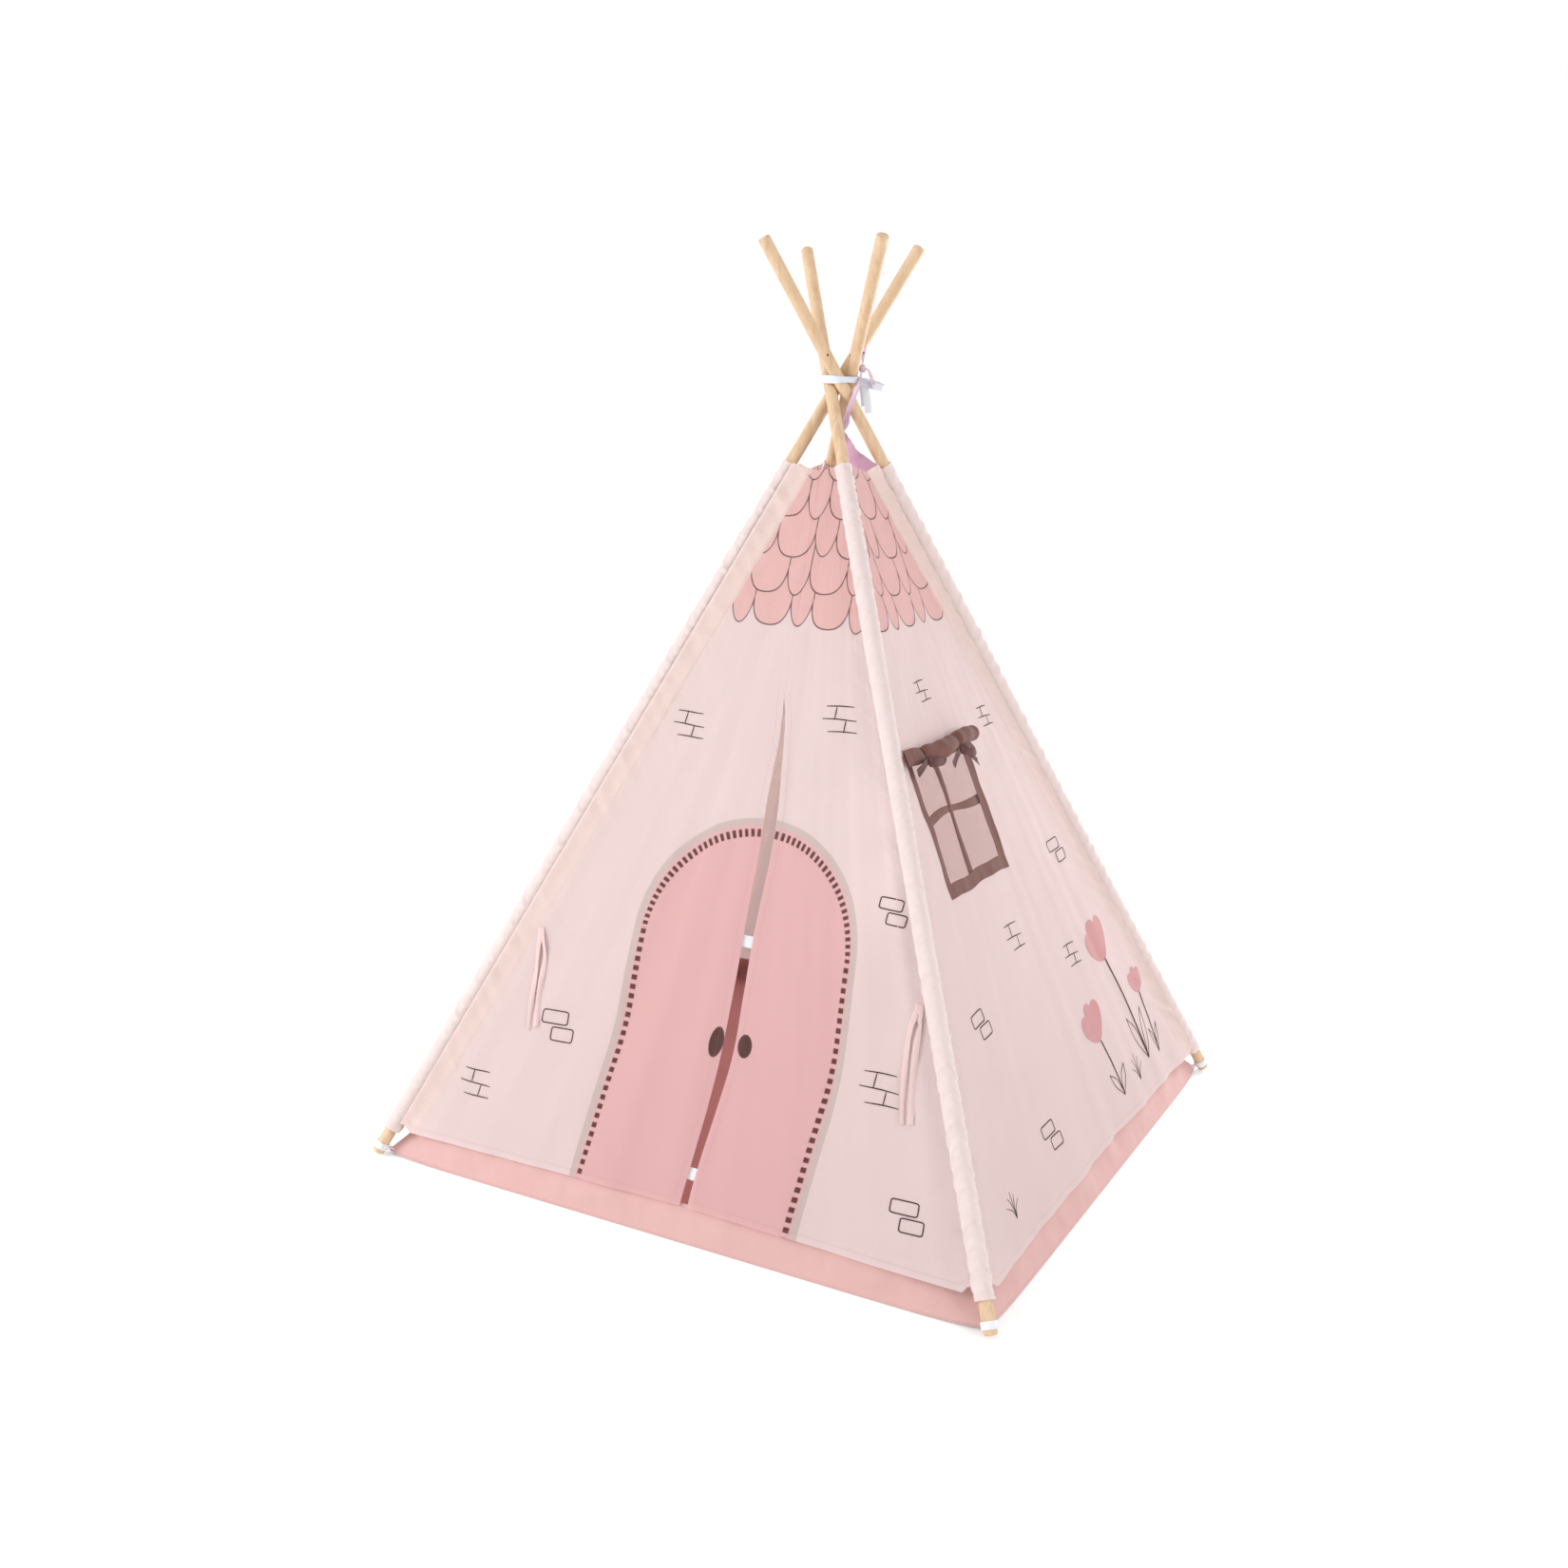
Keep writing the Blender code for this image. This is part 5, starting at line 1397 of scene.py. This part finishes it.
# By wall and side: bricks (across, down, scale, lean), tulips (across, down, height, lean, size) and
# tufts (across, down, size).
marks = {
    (0, -1): ([(-0.150, 0.640, 1.0, 0.04), (-0.285, 1.205, 1.1, -0.05), (-0.420, 1.335, 1.0, 0.03)], [], []),
    (0, 1): ([(0.140, 0.600, 1.0, -0.04), (0.300, 0.905, 0.9, 0.05), (0.345, 1.185, 1.1, 0.0),
              (0.425, 1.365, 1.0, -0.03)], [], []),
    (1, -1): ([(-0.085, 0.560, 0.8, 0.0), (-0.300, 1.110, 1.0, -0.05), (-0.060, 1.020, 1.0, 0.04),
               (-0.190, 1.345, 1.0, 0.0)], [], [(-0.400, 1.400, 1.0)]),
    (1, 1): ([(0.130, 0.640, 0.8, 0.03), (0.235, 0.930, 1.0, -0.04), (0.150, 1.115, 0.9, 0.03)],
             [(0.335, 1.385, 0.225, -0.045, 1.9), (0.405, 1.395, 0.13, -0.004, 1.15),
              (0.165, 1.400, 0.12, -0.020, 1.7)], [(0.262, 1.405, 1.2)]),
    (2, -1): ([(-0.120, 0.700, 1.0, 0.0), (-0.330, 1.120, 1.0, 0.04)],
              [(-0.230, 1.390, 0.19, 0.030, 1.8)], []),
    (2, 1): ([(0.150, 0.760, 1.0, -0.03), (0.280, 1.240, 1.0, 0.0)], [], [(0.120, 1.400, 1.0)]),
    (3, -1): ([(-0.160, 0.720, 1.0, 0.02), (-0.250, 1.130, 1.0, -0.04)], [], [(-0.330, 1.400, 1.0)]),
    (3, 1): ([(0.140, 0.820, 1.0, 0.0)],
             [(0.230, 1.390, 0.20, -0.030, 1.8), (0.320, 1.395, 0.12, 0.015, 1.4)], []),
}
for (wall, side), (bricks, flowers, tufts) in marks.items():
    corner_name = CORNERS[corner_of(wall, side)]
    body = f"cloth_{WALLS[wall]}_wall_{corner_name}"
    lines = [m for k, spec in enumerate(bricks) for m in (brick_pair if k % 2 else brick_mark)(wall, *spec)]
    lines += [m for spec in tufts for m in grass(wall, *spec)]
    fills = []
    for spec in flowers:
        drawn, filled = tulip(wall, *spec)
        lines, fills = lines + drawn, fills + filled
    piece(f"print_lines_{WALLS[wall]}_{corner_name}", lines, ink, body)
    if fills:
        piece(f"print_petals_{WALLS[wall]}_{corner_name}", fills, petal_ink, body)


# Floor, light and camera

FLOOR_HALF = 30
FLOOR_LEVEL = -0.0006
FLOOR_GREY = 0.86
FLOOR_GLOW = (("From Min", 0.8), ("From Max", 3.0), ("To Min", 0.22), ("To Max", 0.7))  # metres, strengths
WHITE = (1, 1, 1, 1)
WORLD_LIGHT = 0.73
LAMPS = (  # place, size in metres, and watts
    ("key", (-3.4, -2.9, 1.7), 1.6, 118),
    ("fill", (3.9, -1.4, 2.2), 1.8, 52),
    ("back", (0.75, 1.5, 0.9), 0.5, 13),
)
LAMPS_AIM = Vector((0, 0, 0.6))
PHOTO_VIEW = (16.41 - 45, 12.78, 1.15)  # degrees of turn, of height above level, and of roll
PHOTO_PLACE = np.array((0.0715, 0.6385, 3.2083))  # the frame's origin: right of the camera, down and ahead
PHOTO_LENS = 1717.7 / 1650  # focal length, in widths of the picture
SENSOR = 36


def seen_by_eye(tree):
    """1 on rays from the camera, off gloss or through glass, and 0 on the rays that light the object.

    Light through cloth is both a transmission and a diffuse ray, so the diffuse share comes off.
    """
    ray = tree.nodes.new("ShaderNodeLightPath")
    eye, gloss, through, diffuse = (Field(tree, ray.outputs[f"Is {kind} Ray"]) for kind in (
        "Camera", "Glossy", "Transmission", "Diffuse"))
    return eye.most(gloss).most(through - diffuse)


def studio():
    """A white floor, even light from a pale world, two broad soft lamps and a small one behind.

    Only to the eye, the floor also glows, more so away from the middle, and the world is white.
    """
    scene = bpy.context.scene
    scene.view_settings.view_transform = "Standard"
    mesh = bpy.data.meshes.new("studio_floor")
    corners = [(x * FLOOR_HALF, y * FLOOR_HALF, FLOOR_LEVEL) for x, y in ((-1, -1), (1, -1), (1, 1), (-1, 1))]
    mesh.from_pydata(corners, [], [(0, 1, 2, 3)])
    floor = bpy.data.objects.new("studio_floor", mesh)
    scene.collection.objects.link(floor)
    material = bpy.data.materials.new("studio_white")
    material.use_nodes = True
    tree = material.node_tree
    matt = tree.nodes["Principled BSDF"]
    matt.inputs["Base Color"].default_value = (FLOOR_GREY, FLOOR_GREY, FLOOR_GREY, 1)
    matt.inputs["Roughness"].default_value = 1.0
    matt.inputs["Specular IOR Level"].default_value = 0.0
    place, far, fade, glow, both = (tree.nodes.new(f"ShaderNode{kind}") for kind in (
        "TexCoord", "VectorMath", "MapRange", "Emission", "AddShader"))
    far.operation = "LENGTH"
    for name, value in FLOOR_GLOW:
        fade.inputs[name].default_value = value
    share = seen_by_eye(tree) * Field(tree, fade.outputs[0])
    join(tree, (place.outputs["Object"], far.inputs[0]), (far.outputs["Value"], fade.inputs["Value"]),
         (share.socket, glow.inputs["Strength"]), (matt.outputs[0], both.inputs[0]),
         (glow.outputs[0], both.inputs[1]),
         (both.outputs[0], tree.nodes["Material Output"].inputs["Surface"]))
    mesh.materials.append(material)

    world = bpy.data.worlds.new("studio_light")
    scene.world = world
    world.use_nodes = True
    tree = world.node_tree
    light = tree.nodes["Background"]
    white, mixed = (tree.nodes.new(f"ShaderNode{kind}") for kind in ("Background", "MixShader"))
    light.inputs["Color"].default_value = white.inputs["Color"].default_value = WHITE
    light.inputs["Strength"].default_value = WORLD_LIGHT
    join(tree, (seen_by_eye(tree).socket, mixed.inputs[0]), (light.outputs[0], mixed.inputs[1]),
         (white.outputs[0], mixed.inputs[2]),
         (mixed.outputs[0], tree.nodes["World Output"].inputs["Surface"]))

    for name, place, size, power in LAMPS:
        lamp = bpy.data.lights.new(name, "AREA")
        lamp.shape, lamp.size, lamp.energy = "SQUARE", size, power
        holder = bpy.data.objects.new(name, lamp)
        scene.collection.objects.link(holder)
        holder.location = place
        holder.visible_camera = False
        holder.rotation_euler = (LAMPS_AIM - Vector(place)).to_track_quat("-Z", "Y").to_euler()


def camera():
    """The photograph's view: the frame turned, tilted and rolled, and seen through the photo's lens."""
    yaw, lift, roll = (math.radians(v) for v in PHOTO_VIEW)
    c, s = math.cos(lift), math.sin(lift)
    view = level_turn(roll) @ np.array(((1, 0, 0), (0, -s, -c), (0, c, -s))) @ level_turn(yaw)
    place = -view.T @ PHOTO_PLACE
    axes = np.diag((1, -1, -1)) @ view
    lens = bpy.data.cameras.new("camera")
    lens.sensor_width = SENSOR
    lens.lens = SENSOR * PHOTO_LENS
    obj = bpy.data.objects.new("camera", lens)
    bpy.context.scene.collection.objects.link(obj)
    obj.matrix_world = Matrix.Translation(place) @ Matrix(axes).transposed().to_4x4()
    bpy.context.scene.camera = obj


studio()
camera()
